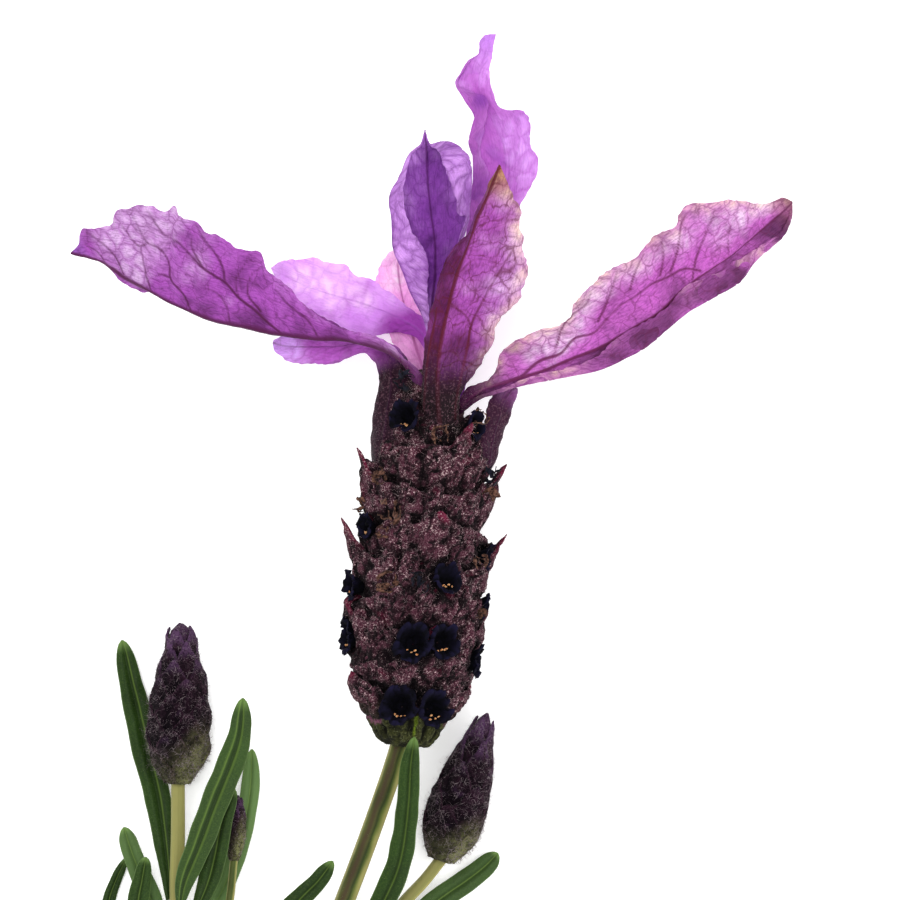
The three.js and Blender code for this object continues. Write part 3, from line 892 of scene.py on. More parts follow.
@dataclass
class Coat:
    """Short hairs over a form."""

    name: str
    density: float  # hairs in a square millimetre of full fur
    length: float
    thickness: float
    seed: int
    lean: float = 1.0  # largest tilt in radians
    shape: HairShape = HairShape.STRAIGHT

    def grow(self, form: Form, wardrobe: Wardrobe, finish: str, slot: Slot) -> None:
        """Grow the hairs on a form and keep them as one plain mesh.

        Args:
            form: the skin they stand on.
            wardrobe: holder of the hair trees and the materials.
            finish: the hairs' finish, by name.
            slot: a slot of the record; not used.
        """
        tree, names = wardrobe.trees[self.shape]
        skin = bpy.data.objects.new(self.name + "_skin", form.mesh(self.name + "_skin"))
        bpy.context.scene.collection.objects.link(skin)
        modifier = skin.modifiers.new("down", "NODES")
        modifier.node_group = tree
        for label, value in (
            ("Density", self.density / MM**2), ("Length", self.length * MM),
            ("Thickness", self.thickness * MM), ("Lean", self.lean), ("Seed", self.seed),
            ("Finish", wardrobe.finishes[finish]),
        ):
            modifier[names[label]] = value
        mesh = bpy.data.meshes.new_from_object(skin.evaluated_get(bpy.context.evaluated_depsgraph_get()))
        mesh.name = self.name
        bpy.data.objects.remove(skin)
        enlist(bpy.data.objects.new(self.name, mesh))


# Crown bracts


@dataclass(frozen=True)
class Vein:
    """Vein read off the picture: the panel it lies in, its pixels and its widths in millimetres."""

    panel: int
    pixels: tuple[tuple[float, float], ...]
    width: float = 0.16
    end_width: float = 0.06


@dataclass
class Bract:
    """Large crown bract, a thin sheet lofted between guide lines that run from its foot to its tip.

    The guides run from left to right as seen with the tip ahead, and a guide may be a fold.
    """

    name: str
    node: str
    finish: BractFinish
    across: tuple[int, ...]  # faces across each panel between two guides
    along: int  # faces from foot to tip
    bulges: tuple[float, ...]  # rise of each panel, as a share of its width
    guides: tuple[Rows, ...]
    midrib: int = 1  # number of the guide that the midrib follows
    midrib_width: float = 0.26
    veins: tuple[Vein, ...] = ()
    pairs: int = 7  # side veins on each side, where none are given for a panel
    faint: float = 0.5  # strength of those
    ruffle: float = 0.25
    thickness: float = 0.16
    wash: tuple[float, ...] = ()  # -1 deep to 1 pale for each panel, as tint, and on folded bracts as painted shade and light
    washes: tuple[tuple[float, float, float, float], ...] = ()  # x, y and radius in pixels, then the same
    foot_fur: float = 0.25  # share of the length that is downy from the foot
    seed: float = 1.0
    grid: np.ndarray = field(init=False)

    def build(self) -> Form:
        """Loft the sheet, raise its veins and thicken it.

        Returns:
            The bract as a closed sheet.
        """
        t = np.linspace(0, 1, self.along + 1)[:, None]
        panel = self._loft(t[:, 0])
        vein = self._vein_strength(panel)
        across = grid_uv(self.grid)[..., 1]
        rim = np.minimum(across - across[:, :1], across[:, -1:] - across)
        near = hump(rim, 1.2)
        normals = grid_normals(self.grid)
        sway = ripple(self.grid, 2.6, self.seed) * 0.6 + ripple(self.grid, 1.1, self.seed + 7) * 0.4
        puff = ripple(self.grid, 0.9, self.seed + 13) * 0.06 + ripple(self.grid, 4.5, self.seed + 17) * 0.4
        fade = np.minimum(1, np.minimum(t, 1 - t) * 12)
        raised = vein * 0.09 + puff * fade + sway * near * self.ruffle * fade
        teeth = ripple(self.grid, 0.5, self.seed + 21) * 0.2 + ripple(self.grid, 1.4, self.seed + 30) * 0.16
        sideways = unit(np.gradient(self.grid, axis=1))
        self.grid = self.grid + normals * raised[..., None]
        self.grid += sideways * (teeth * fade * hump(rim, 0.5))[..., None]
        fur = (1 - smoothstep(0.3 * self.foot_fur, self.foot_fur, t)) * (0.2 + 1.3 * near)
        return shell(self.grid, self.thickness, (vein, t, near, self._washed(panel)), fur, under_fur=0.1)

    def _loft(self, t: np.ndarray) -> np.ndarray:
        """Span the grid between the guides.

        Args:
            t: shares of the length, one for each row of the grid.

        Returns:
            The number of the panel that each column lies in.
        """
        rails = [curve_at(from_picture(rows), t) for rows in self.guides]
        columns, panels = [], []
        for k, (left, right) in enumerate(zip(rails[:-1], rails[1:])):
            span = right - left
            up = unit(np.cross(span, np.gradient(left + right, axis=0)))
            width = np.linalg.norm(span, axis=1, keepdims=True)
            last = k == len(rails) - 2
            for f in np.linspace(0, 1, self.across[k] + 1)[: None if last else -1]:
                columns.append(left + span * f + up * width * (4 * f * (1 - f) * self.bulges[k]))
                panels.append(k)
        self.grid = np.stack(columns, axis=1)
        return np.array(panels)

    def _vein_strength(self, panel: np.ndarray) -> np.ndarray:
        """How strongly a vein shows at each point, from 0 to 1, drawn no thinner than the grid can show.

        Args:
            panel: the panel that each point lies in.

        Returns:
            One value for each point.
        """
        flat = self.grid.reshape(-1, 3)
        vein = np.zeros(len(flat))
        for line, width, end_width, strength in self._vein_lines(panel):
            distance, where = distance_to_line(flat, line)
            half = 0.6 * (width + (end_width - width) * where)
            shown = np.maximum(half, 0.135)
            vein = np.maximum(vein, strength * np.sqrt(half / shown) * hump(distance, shown))
        return vein.reshape(self.grid.shape[:2])

    def _washed(self, panel: np.ndarray) -> np.ndarray:
        """How deep or pale the colour is at each point, from 0 to 1, as tint and, on folded bracts, as
        painted shade and light.

        Args:
            panel: the panel that each point lies in.

        Returns:
            One value for each point.
        """
        mark = np.zeros(self.grid.shape[:2])
        if self.wash:
            mark += np.array(self.wash)[panel]
        for x, y, radius, value in self.washes:
            spot = from_picture([(x, y, SPIKE_HEIGHT)])[0, :2]
            away = np.linalg.norm(self.grid[..., :2] - spot, axis=-1) * PIXELS_PER_MM / radius
            mark += value * hump(away, 1.0)
        mark += 0.25 * ripple(self.grid, 2.2, self.seed + 3)
        return 0.5 + 0.5 * np.clip(mark, -1, 1)

    def _on_grid(self, t: float, column: float) -> np.ndarray:
        """The point of the grid at a share of its length and a column, whole or not.

        Args:
            t: share of the length, from 0 to 1.
            column: the column, whole or not.

        Returns:
            The place.
        """
        row = t * self.along
        i, j = min(int(row), self.along - 1), min(int(column), self.grid.shape[1] - 2)
        f, g = row - i, column - j
        near = self.grid[i, j] * (1 - g) + self.grid[i, j + 1] * g
        return near * (1 - f) + (self.grid[i + 1, j] * (1 - g) + self.grid[i + 1, j + 1] * g) * f

    def _vein_lines(self, panel: np.ndarray) -> list[tuple[np.ndarray, float, float, float]]:
        """Lay the veins on the sheet.

        Args:
            panel: the number of the panel that each column lies in.

        Returns:
            Their lines, each with its width at its start and end, and its strength.
        """
        middle = sum(self.across[: self.midrib])
        lines = [(self.grid[::2, middle], self.midrib_width, self.midrib_width * 0.35, 1.0)]
        for item in self.veins:
            inside = self.grid[:, panel == item.panel].reshape(-1, 3)
            spots = from_picture([(x, y, SPIKE_HEIGHT) for x, y in item.pixels])
            spots = curve_at(spots, np.linspace(0, 1, 4 * len(spots)))
            for spot in spots:
                height = inside[np.argmin(((inside[:, :2] - spot[:2]) ** 2).sum(axis=1)), 2]
                spot[:] = under_lens(np.array([(spot[0], spot[1], height)]))[0]
            lines.append((spots, item.width, item.end_width, 0.9))
        drawn = {item.panel for item in self.veins}
        for side, edge in ((self.midrib - 1, 0), (self.midrib, self.grid.shape[1] - 1)):
            if side not in drawn and 0 <= side < len(self.across):
                lines += self._side_veins(side, middle, edge)
        return lines

    def _side_veins(self, side: int, middle: int, edge: int) -> list[tuple[np.ndarray, float, float, float]]:
        """Forked veins that leave the midrib towards one margin.

        Args:
            side: the panel they start in.
            middle: the midrib's column.
            edge: the margin's column.

        Returns:
            Their lines, each with its width at its start and end, and its strength.
        """
        lines = []
        for k in range(self.pairs):
            start = 0.1 + 0.72 * (k + 0.5 * (side % 2)) / self.pairs
            reach = 0.16 + 0.04 * math.sin(3.1 * k + self.seed)
            shares = np.linspace(0, 1, 9)
            steps = [(start + reach * f**0.8, middle + (edge - middle) * 0.92 * f) for f in shares]
            line = np.array([self._on_grid(min(a, 0.995), b) for a, b in steps])
            lines.append((line, self.midrib_width * 0.6, 0.05, self.faint))
            fork = line[5] + (line[8] - line[5]) * 0.4
            branch = self._on_grid(min(steps[5][0] + 0.12, 0.995), middle + (edge - middle) * 0.8)
            lines.append((np.array([line[4], fork, branch]), self.midrib_width * 0.35, 0.04, self.faint))
        return lines


PLUM_FRONT = BractFinish(
    "papery_bract_front", foot="#190810", body="#a850ae", deep="#5e1a50", pale="#dcb0e2", tip="#a8703e",
    vein="#561324", foot_hold=0.1, foot_end=0.42, tip_start=0.83, rim_pale=0.75, net=0.64, through=0.28,
    edge="#f8dcc0", cell=1.9,
)
VIOLET_LEFT = BractFinish(
    "papery_bract_left", foot="#5a2454", body="#b056bc", deep="#74307a", pale="#dab4e0", tip="#9a5cba",
    vein="#541846", foot_hold=0.02, foot_end=0.08, rim_pale=0.25, net=0.42, tip_start=0.92,
)
LILAC_RIGHT = BractFinish(
    "papery_bract_right", foot="#401038", body="#c868c6", deep="#6a3264", pale="#ecccec", tip="#8e5468",
    vein="#66224e", foot_hold=0.03, foot_end=0.17, rim_pale=0.65, net=0.5, tip_start=0.91, edge="#fbe4bc",
    cell=1.6,
)
VIOLET_INNER = BractFinish(
    "papery_bract_inner", foot="#8c3c90", body="#8c44aa", deep="#541e6c", pale="#dca2f0", tip="#944eb0",
    vein="#541a62", rim_pale=0.4, net=0.35, foot_end=0.2, fibre=0.4,
)
LILAC_TALL = BractFinish(
    "papery_bract_tall", foot="#8a3aa4", body="#bc66c6", deep="#9448b0", pale="#e0a8ee", tip="#cc92e6",
    vein="#8e44a4", rim_pale=0.4, net=0.16, through=0.4, fibre=0.3,
)
ROSE_REAR = BractFinish(
    "papery_bract_rear", foot="#8a3596", body="#e09af2", deep="#a644b2", pale="#ffdcff", tip="#eab8f8",
    vein="#a458b8", rim_pale=0.4, net=0.14, through=0.3, fibre=0.16,
)
BLUSH_REAR = BractFinish(
    "papery_bract_blush", foot="#963a84", body="#ffb8f2", deep="#c057ac", pale="#ffe8fa", tip="#ffe0f4",
    vein="#b0609c", foot_end=0.5, rim_pale=0.5, net=0.25, through=0.3, fibre=0.16,
)
DUSK_LOW = BractFinish(
    "papery_bract_low", foot="#260a1c", body="#bc5ac6", deep="#7c2e80", pale="#e6b8fa", tip="#dca6f4",
    vein="#461640", foot_hold=0.42, foot_end=0.56, rim_pale=0.3, net=0.2, tip_start=0.82, fibre=0.3,
)
DUSK_SHORT = replace(
    DUSK_LOW, name="papery_bract_short", foot="#34102a", body="#8a3c84", foot_hold=0.6, foot_end=0.95,
    tip_start=0.98,
)

CROWN: tuple[Bract, ...] = (
    Bract(
        "front_bract", "bract_front", PLUM_FRONT, across=(30, 54), along=190, bulges=(0.1, 0.06),
        midrib_width=0.4, ruffle=0.2, wash=(-0.65, 0.05), foot_fur=0.3, seed=2.3,
        guides=(
            ((426, 432, 11.4), (421, 395, 11.3), (422, 377, 11.6), (427, 326, 12.4), (434, 301, 12.8),
             (444, 270, 13.1), (456, 247, 13.2), (471, 231, 13.6), (478, 212, 14.7), (489, 185, 16.6),
             (500, 165, 18.0)),
            ((441, 436, 12.2), (438, 402, 12.2), (438, 377, 12.4), (444, 326, 13.4), (449, 306, 13.8),
             (459, 272, 14.9), (474, 229, 16.2), (489, 193, 17.2), (500, 165, 18.1)),
            ((457, 432, 11.3), (463, 392, 11.8), (476, 371, 12.5), (486, 354, 13.0), (493, 343, 13.2),
             (495, 329, 13.5), (502, 317, 13.8), (511, 309, 14.1), (518, 301, 14.4), (522, 289, 14.8),
             (528, 275, 15.1), (528, 262, 15.4), (523, 250, 15.7), (524, 237, 16.0), (520, 228, 16.2),
             (521, 212, 16.5), (514, 199, 16.8), (507, 181, 17.5), (500, 165, 18.1)),
        ),
        washes=((520, 250, 20, 0.9), (512, 290, 18, 0.8), (496, 322, 12, 0.6), (505, 204, 14, 0.4),
                (487, 250, 12, 0.3), (492, 288, 14, 0.4), (468, 290, 10, 0.2), (424, 360, 14, -0.6),
                (446, 270, 10, -0.2), (458, 345, 20, -0.8), (450, 392, 24, -0.9), (452, 305, 10, -0.5)),
        veins=(
            Vein(0, ((424, 410), (426, 377), (431, 339), (435, 321), (437, 308)), 0.34, 0.12),
            Vein(1, ((455, 418), (457, 397), (462, 372), (468, 344), (471, 326), (473, 320), (482, 303),
                (490, 288), (502, 267), (513, 250)), 0.34, 0.14),
            Vein(1, ((471, 326), (467, 317), (456, 308), (450, 305)), 0.2, 0.12),
            Vein(1, ((460, 272), (474, 260), (490, 261), (502, 264), (518, 257)), 0.16, 0.08),
            Vein(1, ((470, 244), (480, 240), (494, 243), (507, 236), (520, 238))),
            Vein(1, ((477, 232), (485, 222), (494, 209), (502, 199), (513, 196)), 0.18),
            Vein(1, ((466, 250), (477, 232), (495, 227), (508, 214), (519, 216))),
            Vein(1, ((502, 267), (515, 275), (524, 285))),
            Vein(1, ((490, 288), (505, 295), (516, 305))),
            Vein(1, ((482, 303), (492, 313), (498, 320))),
            Vein(1, ((462, 372), (474, 362), (486, 352))),
            Vein(1, ((488, 196), (496, 188), (504, 184)), 0.14),
        ),
    ),
    Bract(
        "left_bract", "bract_left", VIOLET_LEFT, across=(20, 74), along=230, bulges=(0.05, 0.12),
        midrib_width=1.4, ruffle=0.32, wash=(-0.2, 0.15), foot_fur=0.16, seed=5.1,
        guides=(
            ((426, 396, 9.0), (418, 386, 9.4), (394, 350, 9.9), (351, 331, 9.6), (314, 312, 9.1),
             (285, 291, 8.8), (263, 272, 8.6), (240, 256, 8.3), (215, 245, 8.1), (195, 247, 7.9),
             (175, 268, 7.6), (158, 288, 7.5), (145, 294, 7.8), (132, 288, 7.8), (123, 283, 7.8),
             (112, 271, 7.7), (98, 262, 7.5), (71, 253, 7.3)),
            ((428, 394, 9.9), (419, 382, 10.4), (395, 357, 10.8), (370, 345, 10.9), (351, 340, 10.9),
             (314, 340, 10.8), (285, 335, 10.7), (264, 331, 10.6), (215, 321, 10.1), (181, 309, 9.6),
             (152, 293, 9.1), (123, 275, 8.4), (106, 265, 8.1), (89, 257, 7.7), (71, 253, 7.3)),
            ((429, 384, 10.4), (418, 370, 10.9), (406, 359, 11.2), (394, 347, 11.3), (372, 335, 11.4),
             (351, 331, 11.7), (327, 321, 12.0), (302, 302, 12.3), (285, 284, 12.3), (266, 267, 12.2),
             (261, 254, 12.1), (249, 250, 12.0), (234, 246, 11.9), (220, 236, 11.8), (205, 232, 11.7),
             (196, 220, 11.6), (181, 217, 11.3), (174, 206, 11.2), (167, 211, 11.1), (150, 206, 10.9),
             (130, 208, 10.5), (117, 212, 10.2), (112, 224, 9.7), (99, 228, 9.4), (82, 230, 8.8),
             (79, 244, 8.0), (71, 253, 7.3)),
        ),
        washes=((120, 228, 26, 0.9), (150, 212, 22, 0.8), (170, 214, 16, 1.0), (160, 245, 18, 0.6),
                (137, 258, 20, 0.6), (105, 245, 14, 0.3), (200, 268, 14, 0.4), (228, 303, 13, 0.6),
                (142, 278, 12, 0.6), (236, 284, 16, -0.8), (262, 316, 16, -0.9), (335, 338, 18, -0.9),
                (212, 310, 16, -0.9), (186, 302, 10, -0.6), (82, 246, 14, -0.5), (300, 330, 12, -0.8),
                (240, 320, 12, -0.7), (388, 353, 14, 0.5), (160, 290, 8, -0.4), (262, 328, 8, -0.6),
                # The last two spots, along the upper edge, are painted shade of the half folded behind.
                (250, 262, 12, -0.6), (264, 284, 12, -0.5)),
        veins=(
            Vein(1, ((285, 335), (271, 324), (254, 309), (239, 297), (225, 282), (213, 275), (203, 268),
                (191, 255), (179, 243), (164, 234), (154, 221), (149, 213)), 0.3, 0.09),
            Vein(1, ((225, 282), (223, 268), (215, 253), (203, 238), (196, 226)), 0.2),
            Vein(1, ((203, 268), (192, 246), (191, 232), (184, 222))),
            Vein(1, ((191, 311), (184, 294), (171, 277), (170, 265), (164, 253), (157, 247), (148, 243),
                (142, 234), (135, 219), (130, 212)), 0.22, 0.08),
            Vein(1, ((148, 243), (140, 246), (131, 238), (125, 229), (118, 220))),
            Vein(1, ((171, 277), (162, 274), (156, 276)), 0.16, 0.08),
            Vein(1, ((151, 289), (148, 277), (144, 260), (140, 246)), 0.2, 0.08),
            Vein(1, ((125, 274), (118, 260), (108, 248), (96, 238), (87, 232)), 0.18),
            Vein(1, ((106, 265), (98, 252), (88, 245))),
            Vein(1, ((261, 311), (248, 292), (249, 282), (254, 272), (262, 268)), 0.2),
            Vein(1, ((230, 322), (226, 304), (216, 292), (204, 288))),
            Vein(1, ((318, 338), (309, 322), (290, 306), (276, 290)), 0.18),
            Vein(1, ((239, 297), (236, 280), (243, 268), (250, 256)), 0.14),
        ),
    ),
    Bract(
        "right_bract", "bract_right", LILAC_RIGHT, across=(60, 24, 22), along=220, bulges=(0.08, 0.06, 0.1),
        midrib_width=0.34, ruffle=0.16, wash=(0.1, -0.42, -0.22), foot_fur=0.1, seed=9.4,
        guides=(
            ((458, 402, 10.2), (467, 388, 10.3), (484, 382, 10.2), (494, 373, 9.9), (500, 355, 9.5),
             (516, 341, 9.2), (539, 329, 8.9), (559, 325, 8.8), (569, 318, 8.6), (573, 304, 8.2),
             (587, 290, 7.9), (601, 276, 7.5), (615, 265, 7.2), (635, 256, 6.9), (647, 242, 6.4),
             (660, 232, 5.9), (676, 225, 5.4), (679, 214, 5.2), (690, 204, 4.8), (704, 203, 4.5),
             (722, 200, 4.0), (748, 202, 3.0), (771, 202, 1.9), (784, 198, 1.2), (792, 202, 0.7)),
            ((460, 408, 9.9), (472, 396, 10.2), (509, 381, 10.3), (543, 371, 10.1), (569, 360, 10.0),
             (601, 347, 9.7), (635, 327, 9.0), (658, 313, 8.3), (681, 291, 7.2), (704, 274, 6.2),
             (727, 258, 4.9), (761, 230, 2.6), (787, 207, 1.1), (792, 202, 0.7)),
            ((460, 414, 9.4), (475, 402, 9.8), (516, 387, 10.1), (555, 379, 10.1), (571, 376, 10.1),
             (601, 370, 9.9), (630, 357, 9.2), (660, 336, 8.4), (679, 320, 7.7), (690, 312, 7.2),
             (711, 299, 6.4), (743, 279, 4.9), (754, 263, 4.1), (771, 247, 2.8), (784, 235, 1.9),
             (791, 219, 1.1), (792, 204, 0.7)),
            ((459, 410, 10.0), (474, 399, 10.5), (512, 384, 10.6), (543, 374, 10.6), (566, 368, 10.6),
             (592, 358, 10.5), (612, 342, 10.1), (638, 325, 9.5), (660, 313, 8.9), (674, 299, 8.2),
             (684, 287, 7.7), (704, 279, 6.8), (722, 272, 6.1), (738, 260, 5.2), (761, 247, 3.8),
             (780, 233, 2.5), (789, 217, 1.5), (792, 204, 0.8)),
        ),
        washes=((566, 318, 22, 1.1), (552, 338, 14, 1.0), (597, 290, 18, 0.8), (626, 268, 16, 0.7),
                (700, 218, 18, 0.4), (745, 213, 18, 0.5), (770, 205, 10, 0.6), (725, 238, 14, 0.4),
                (678, 240, 14, 0.7), (650, 298, 16, 0.3), (552, 365, 8, 0.4), (700, 235, 24, 0.05),
                (742, 218, 20, 0.4), (550, 340, 16, 0.5), (745, 262, 7, 0.4), (784, 222, 10, -1.4),
                (766, 203, 9, 1.2), (664, 326, 22, -0.25), (616, 362, 24, -0.35), (660, 290, 18, -0.4),
                (520, 365, 20, 0.1), (664, 272, 12, -0.4), (610, 312, 12, -0.4), (555, 332, 14, 0.3),
                (760, 226, 14, -0.6), (650, 262, 16, 0.4), (504, 376, 10, -0.3), (650, 332, 40, -0.25),
                (724, 280, 30, -0.4), (560, 340, 9, 0.7), (530, 355, 9, 0.5)),
        veins=(
            Vein(0, ((727, 258), (726, 244), (729, 228), (738, 214), (747, 203)), 0.22, 0.07),
            Vein(0, ((692, 279), (695, 260), (702, 242), (711, 221), (722, 204)), 0.22, 0.07),
            Vein(0, ((670, 272), (676, 256), (679, 240), (683, 221), (692, 207)), 0.22, 0.07),
            Vein(0, ((700, 271), (684, 269), (668, 277), (652, 284), (636, 296), (620, 306),
                (606, 320)), 0.2, 0.09),
            Vein(0, ((660, 276), (663, 260), (661, 237)), 0.2, 0.07),
            Vein(0, ((630, 290), (635, 272), (644, 253)), 0.2, 0.07),
            Vein(0, ((557, 345), (562, 329), (573, 315), (587, 304), (592, 292)), 0.2, 0.07),
            Vein(0, ((598, 322), (610, 295), (617, 272)), 0.2, 0.07),
            Vein(0, ((752, 238), (758, 222), (766, 208)), 0.2, 0.07),
            Vein(0, ((520, 378), (540, 361), (560, 354), (576, 338), (592, 334), (608, 318)), 0.3, 0.12),
            Vein(1, ((601, 347), (612, 356), (622, 360))),
        ),
    ),
    Bract(
        "inner_bract", "bract_inner", VIOLET_INNER, across=(16, 34, 34, 16), along=150,
        bulges=(0.05, -0.1, -0.1, 0.05), midrib=2, midrib_width=0.3, faint=0.28, ruffle=0.1,
        # Painted light on the margins that fold inwards: its outer panels are paler than the middle ones.
        wash=(0.7, 0.25, 0.15, 0.55), foot_fur=0.1, seed=12.7,
        guides=(
            ((431, 410, 10.0), (430, 340, 11.0), (428, 300, 11.6), (428, 270, 12.2), (425, 250, 12.8),
             (414, 235, 13.2), (407, 219, 13.5), (404, 195, 13.6), (406, 172, 13.3), (411, 153, 12.4),
             (421, 145, 11.4), (425, 130, 10.8)),
            ((430, 412, 9.2), (427, 335, 10.2), (422, 316, 10.7), (413, 298, 11.4), (403, 270, 12.2),
             (395, 250, 12.6), (394, 224, 12.8), (392, 196, 12.8), (399, 176, 12.4), (410, 152, 11.8),
             (421, 144, 11.1), (425, 130, 10.7)),
            ((433, 414, 9.2), (432, 340, 9.9), (432, 306, 10.2), (435, 275, 10.5), (435, 244, 10.7),
             (431, 214, 10.8), (428, 186, 10.8), (426, 148, 10.8), (425, 130, 10.7)),
            ((437, 412, 9.2), (441, 340, 10.4), (448, 290, 11.6), (461, 240, 12.6), (467, 221, 12.9),
             (469, 196, 13.0), (471, 178, 12.9), (470, 159, 12.5), (464, 150, 12.1), (454, 144, 11.8),
             (441, 142, 11.3), (430, 145, 11.0), (425, 130, 10.7)),
            ((436, 410, 9.9), (440, 330, 11.6), (449, 275, 12.9), (459, 238, 13.5), (464, 215, 13.8),
             (460, 215, 13.9), (456, 200, 13.8), (450, 180, 13.5), (444, 164, 13.1), (438, 150, 12.2),
             (430, 146, 11.3), (425, 130, 10.8)),
        ),
        # The deep spots along the middle are painted shade in the fold, and the pale spots near the margins
        # painted light where they fold inwards.
        washes=((430, 212, 10, -0.9), (431, 240, 9, -0.7), (433, 270, 11, -0.5), (436, 304, 14, 0.35),
                (402, 200, 9, 0.6), (408, 250, 9, 0.6), (458, 168, 14, 0.4), (454, 196, 8, 0.3),
                (412, 160, 8, 0.4)),
    ),
    Bract(
        "tall_bract", "bract_tall", LILAC_TALL, across=(16, 30, 30), along=170, bulges=(0.05, 0.1, 0.1),
        midrib=2, midrib_width=0.06, faint=0.3, ruffle=0.18, wash=(-0.15, 0.05, 0.3), foot_fur=0.05,
        seed=15.2,
        guides=(
            ((450, 405, 6.2), (463, 300, 5.9), (474, 240, 5.9), (489, 200, 5.8), (490, 175, 5.6),
             (480, 150, 5.4), (486, 128, 5.2), (487, 98, 5.0), (470, 90, 4.8), (458, 82, 4.7),
             (464, 71, 4.7), (470, 61, 4.6), (481, 52, 4.6), (481, 42, 4.5), (485, 35, 4.4)),
            ((449, 405, 5.8), (458, 300, 5.3), (466, 240, 5.1), (471, 196, 5.0), (472, 153, 4.9),
             (469, 142, 4.9), (471, 129, 4.8), (474, 118, 4.7), (464, 99, 4.6), (456, 84, 4.5),
             (462, 73, 4.5), (468, 62, 4.5), (479, 54, 4.5), (480, 42, 4.4), (485, 35, 4.4)),
            ((454, 405, 5.8), (478, 300, 5.3), (496, 240, 5.0), (503, 196, 4.9), (505, 153, 4.8),
             (498, 130, 4.6), (487, 108, 4.4), (479, 90, 4.3), (480, 72, 4.2), (484, 56, 4.3),
             (488, 44, 4.3), (490, 34, 4.4)),
            ((460, 405, 5.8), (492, 300, 5.2), (512, 222, 5.0), (523, 199, 5.1), (533, 183, 5.2),
             (538, 168, 5.2), (536, 153, 5.2), (531, 148, 5.1), (531, 130, 4.9), (524, 112, 4.8),
             (513, 111, 4.6), (502, 108, 4.4), (492, 89, 4.1), (490, 76, 4.0), (493, 48, 4.1),
             (496, 34, 4.3)),
        ),
        washes=((484, 60, 16, 0.8), (466, 84, 10, 0.6), (480, 98, 10, -0.8), (536, 160, 16, 1.2),
                (508, 132, 18, 0.6), (525, 152, 12, 0.6), (480, 180, 18, -0.3), (498, 120, 8, 0.4)),
    ),
    Bract(
        "rear_left_bract", "bract_rear_left", ROSE_REAR, across=(24, 28), along=110, bulges=(0.06, 0.06),
        midrib_width=0.08, faint=0.22, foot_fur=0.05, seed=18.8,
        guides=(
            ((430, 415, 5.2), (427, 372, 5.0), (423, 345, 5.0), (419, 340, 4.9), (399, 333, 4.4),
             (385, 335, 4.0), (370, 338, 3.6), (351, 334, 3.1), (320, 322, 2.2), (295, 303, 1.3),
             (280, 285, 0.8), (271, 268, 0.5)),
            ((432, 415, 5.2), (430, 370, 5.2), (424, 335, 5.1), (400, 318, 4.8), (370, 306, 4.1),
             (330, 294, 2.8), (300, 283, 1.5), (271, 268, 0.5)),
            ((434, 414, 5.1), (431, 368, 5.0), (424, 322, 4.9), (407, 306, 4.7), (382, 287, 4.2),
             (373, 280, 4.0), (353, 274, 3.6), (346, 264, 3.3), (329, 262, 2.9), (317, 258, 2.6),
             (293, 260, 1.8), (278, 263, 1.0), (271, 268, 0.5)),
        ),
        washes=((330, 285, 24, 1.0), (300, 276, 16, 0.7), (367, 302, 18, 0.7), (398, 326, 22, -1.0),
                (415, 335, 18, -0.9), (360, 322, 12, -0.4)),
    ),
    Bract(
        "rear_bract", "bract_rear", BLUSH_REAR, across=(22, 22), along=90, bulges=(0.06, 0.06),
        foot_fur=0.05, seed=21.6,
        guides=(
            ((440, 418, 4.8), (424, 405, 4.5), (404, 360, 4.0), (391, 337, 3.4), (380, 310, 2.7),
             (373, 290, 2.1), (376, 278, 1.7), (381, 264, 1.1), (392, 251, 0.7), (399, 247, 0.5)),
            ((441, 418, 4.8), (432, 405, 4.5), (420, 360, 4.0), (408, 320, 3.0), (400, 285, 1.9),
             (398, 262, 1.0), (399, 247, 0.5)),
            ((442, 418, 4.8), (440, 405, 4.5), (436, 360, 4.0), (430, 320, 3.2), (421, 290, 2.3),
             (411, 268, 1.3), (405, 254, 0.8), (399, 247, 0.5)),
        ),
        washes=((392, 282, 12, 0.9), (400, 262, 12, 0.7), (425, 352, 16, -0.4)),
    ),
    Bract(
        "low_left_bract", "bract_low_left", DUSK_LOW, across=(20, 20), along=130, bulges=(0.12, 0.08),
        midrib_width=0.2, foot_fur=0.55, seed=24.1,
        guides=(
            ((376, 480, 6.6), (371, 447, 7.0), (373, 418, 8.0), (378, 372, 8.0), (372, 358, 7.6),
             (364, 352, 7.3), (346, 357, 6.9), (334, 361, 6.5), (307, 362, 5.7), (285, 358, 4.9),
             (275, 351, 4.5), (273, 343, 4.4)),
            ((385, 480, 9.2), (384, 447, 9.8), (386, 418, 9.9), (391, 378, 9.6), (386, 352, 9.0),
             (366, 343, 8.2), (340, 346, 7.2), (305, 347, 6.0), (285, 346, 5.0), (273, 343, 4.4)),
            ((394, 478, 10.4), (398, 447, 10.6), (406, 418, 10.2), (415, 388, 9.2), (405, 356, 8.9),
             (370, 338, 8.4), (340, 334, 7.4), (305, 333, 6.2), (285, 335, 5.2), (274, 340, 4.4)),
        ),
        washes=((288, 352, 16, 1.2), (340, 350, 20, -0.2), (384, 350, 14, -0.8)),
    ),
    Bract(
        "low_right_bract", "bract_low_right", DUSK_SHORT, across=(18, 18), along=70, bulges=(0.12, 0.08),
        foot_fur=0.7, seed=27.3,
        guides=(
            ((474, 478, 9.3), (480, 446, 9.6), (485, 424, 9.6), (488, 404, 9.2), (496, 393, 8.2),
             (517, 388, 6.2)),
            ((486, 474, 8.2), (492, 444, 8.6), (498, 420, 8.7), (502, 402, 8.2), (508, 392, 7.3),
             (517, 388, 6.1)),
            ((490, 470, 7.0), (500, 443, 7.3), (507, 424, 7.3), (512, 404, 6.9), (517, 388, 6.0)),
        ),
    ),
)


# The open spike

HALF_ROUND = 93.0  # degrees that half of a whorl's bract covers
POINT_WIDTH = 0.075  # of a bract's drawn-out point, as a share of half its width
LIP_ANGLES = np.arange(6) * 18.0  # degrees from a bract's tip to its side, where its rim's height is given


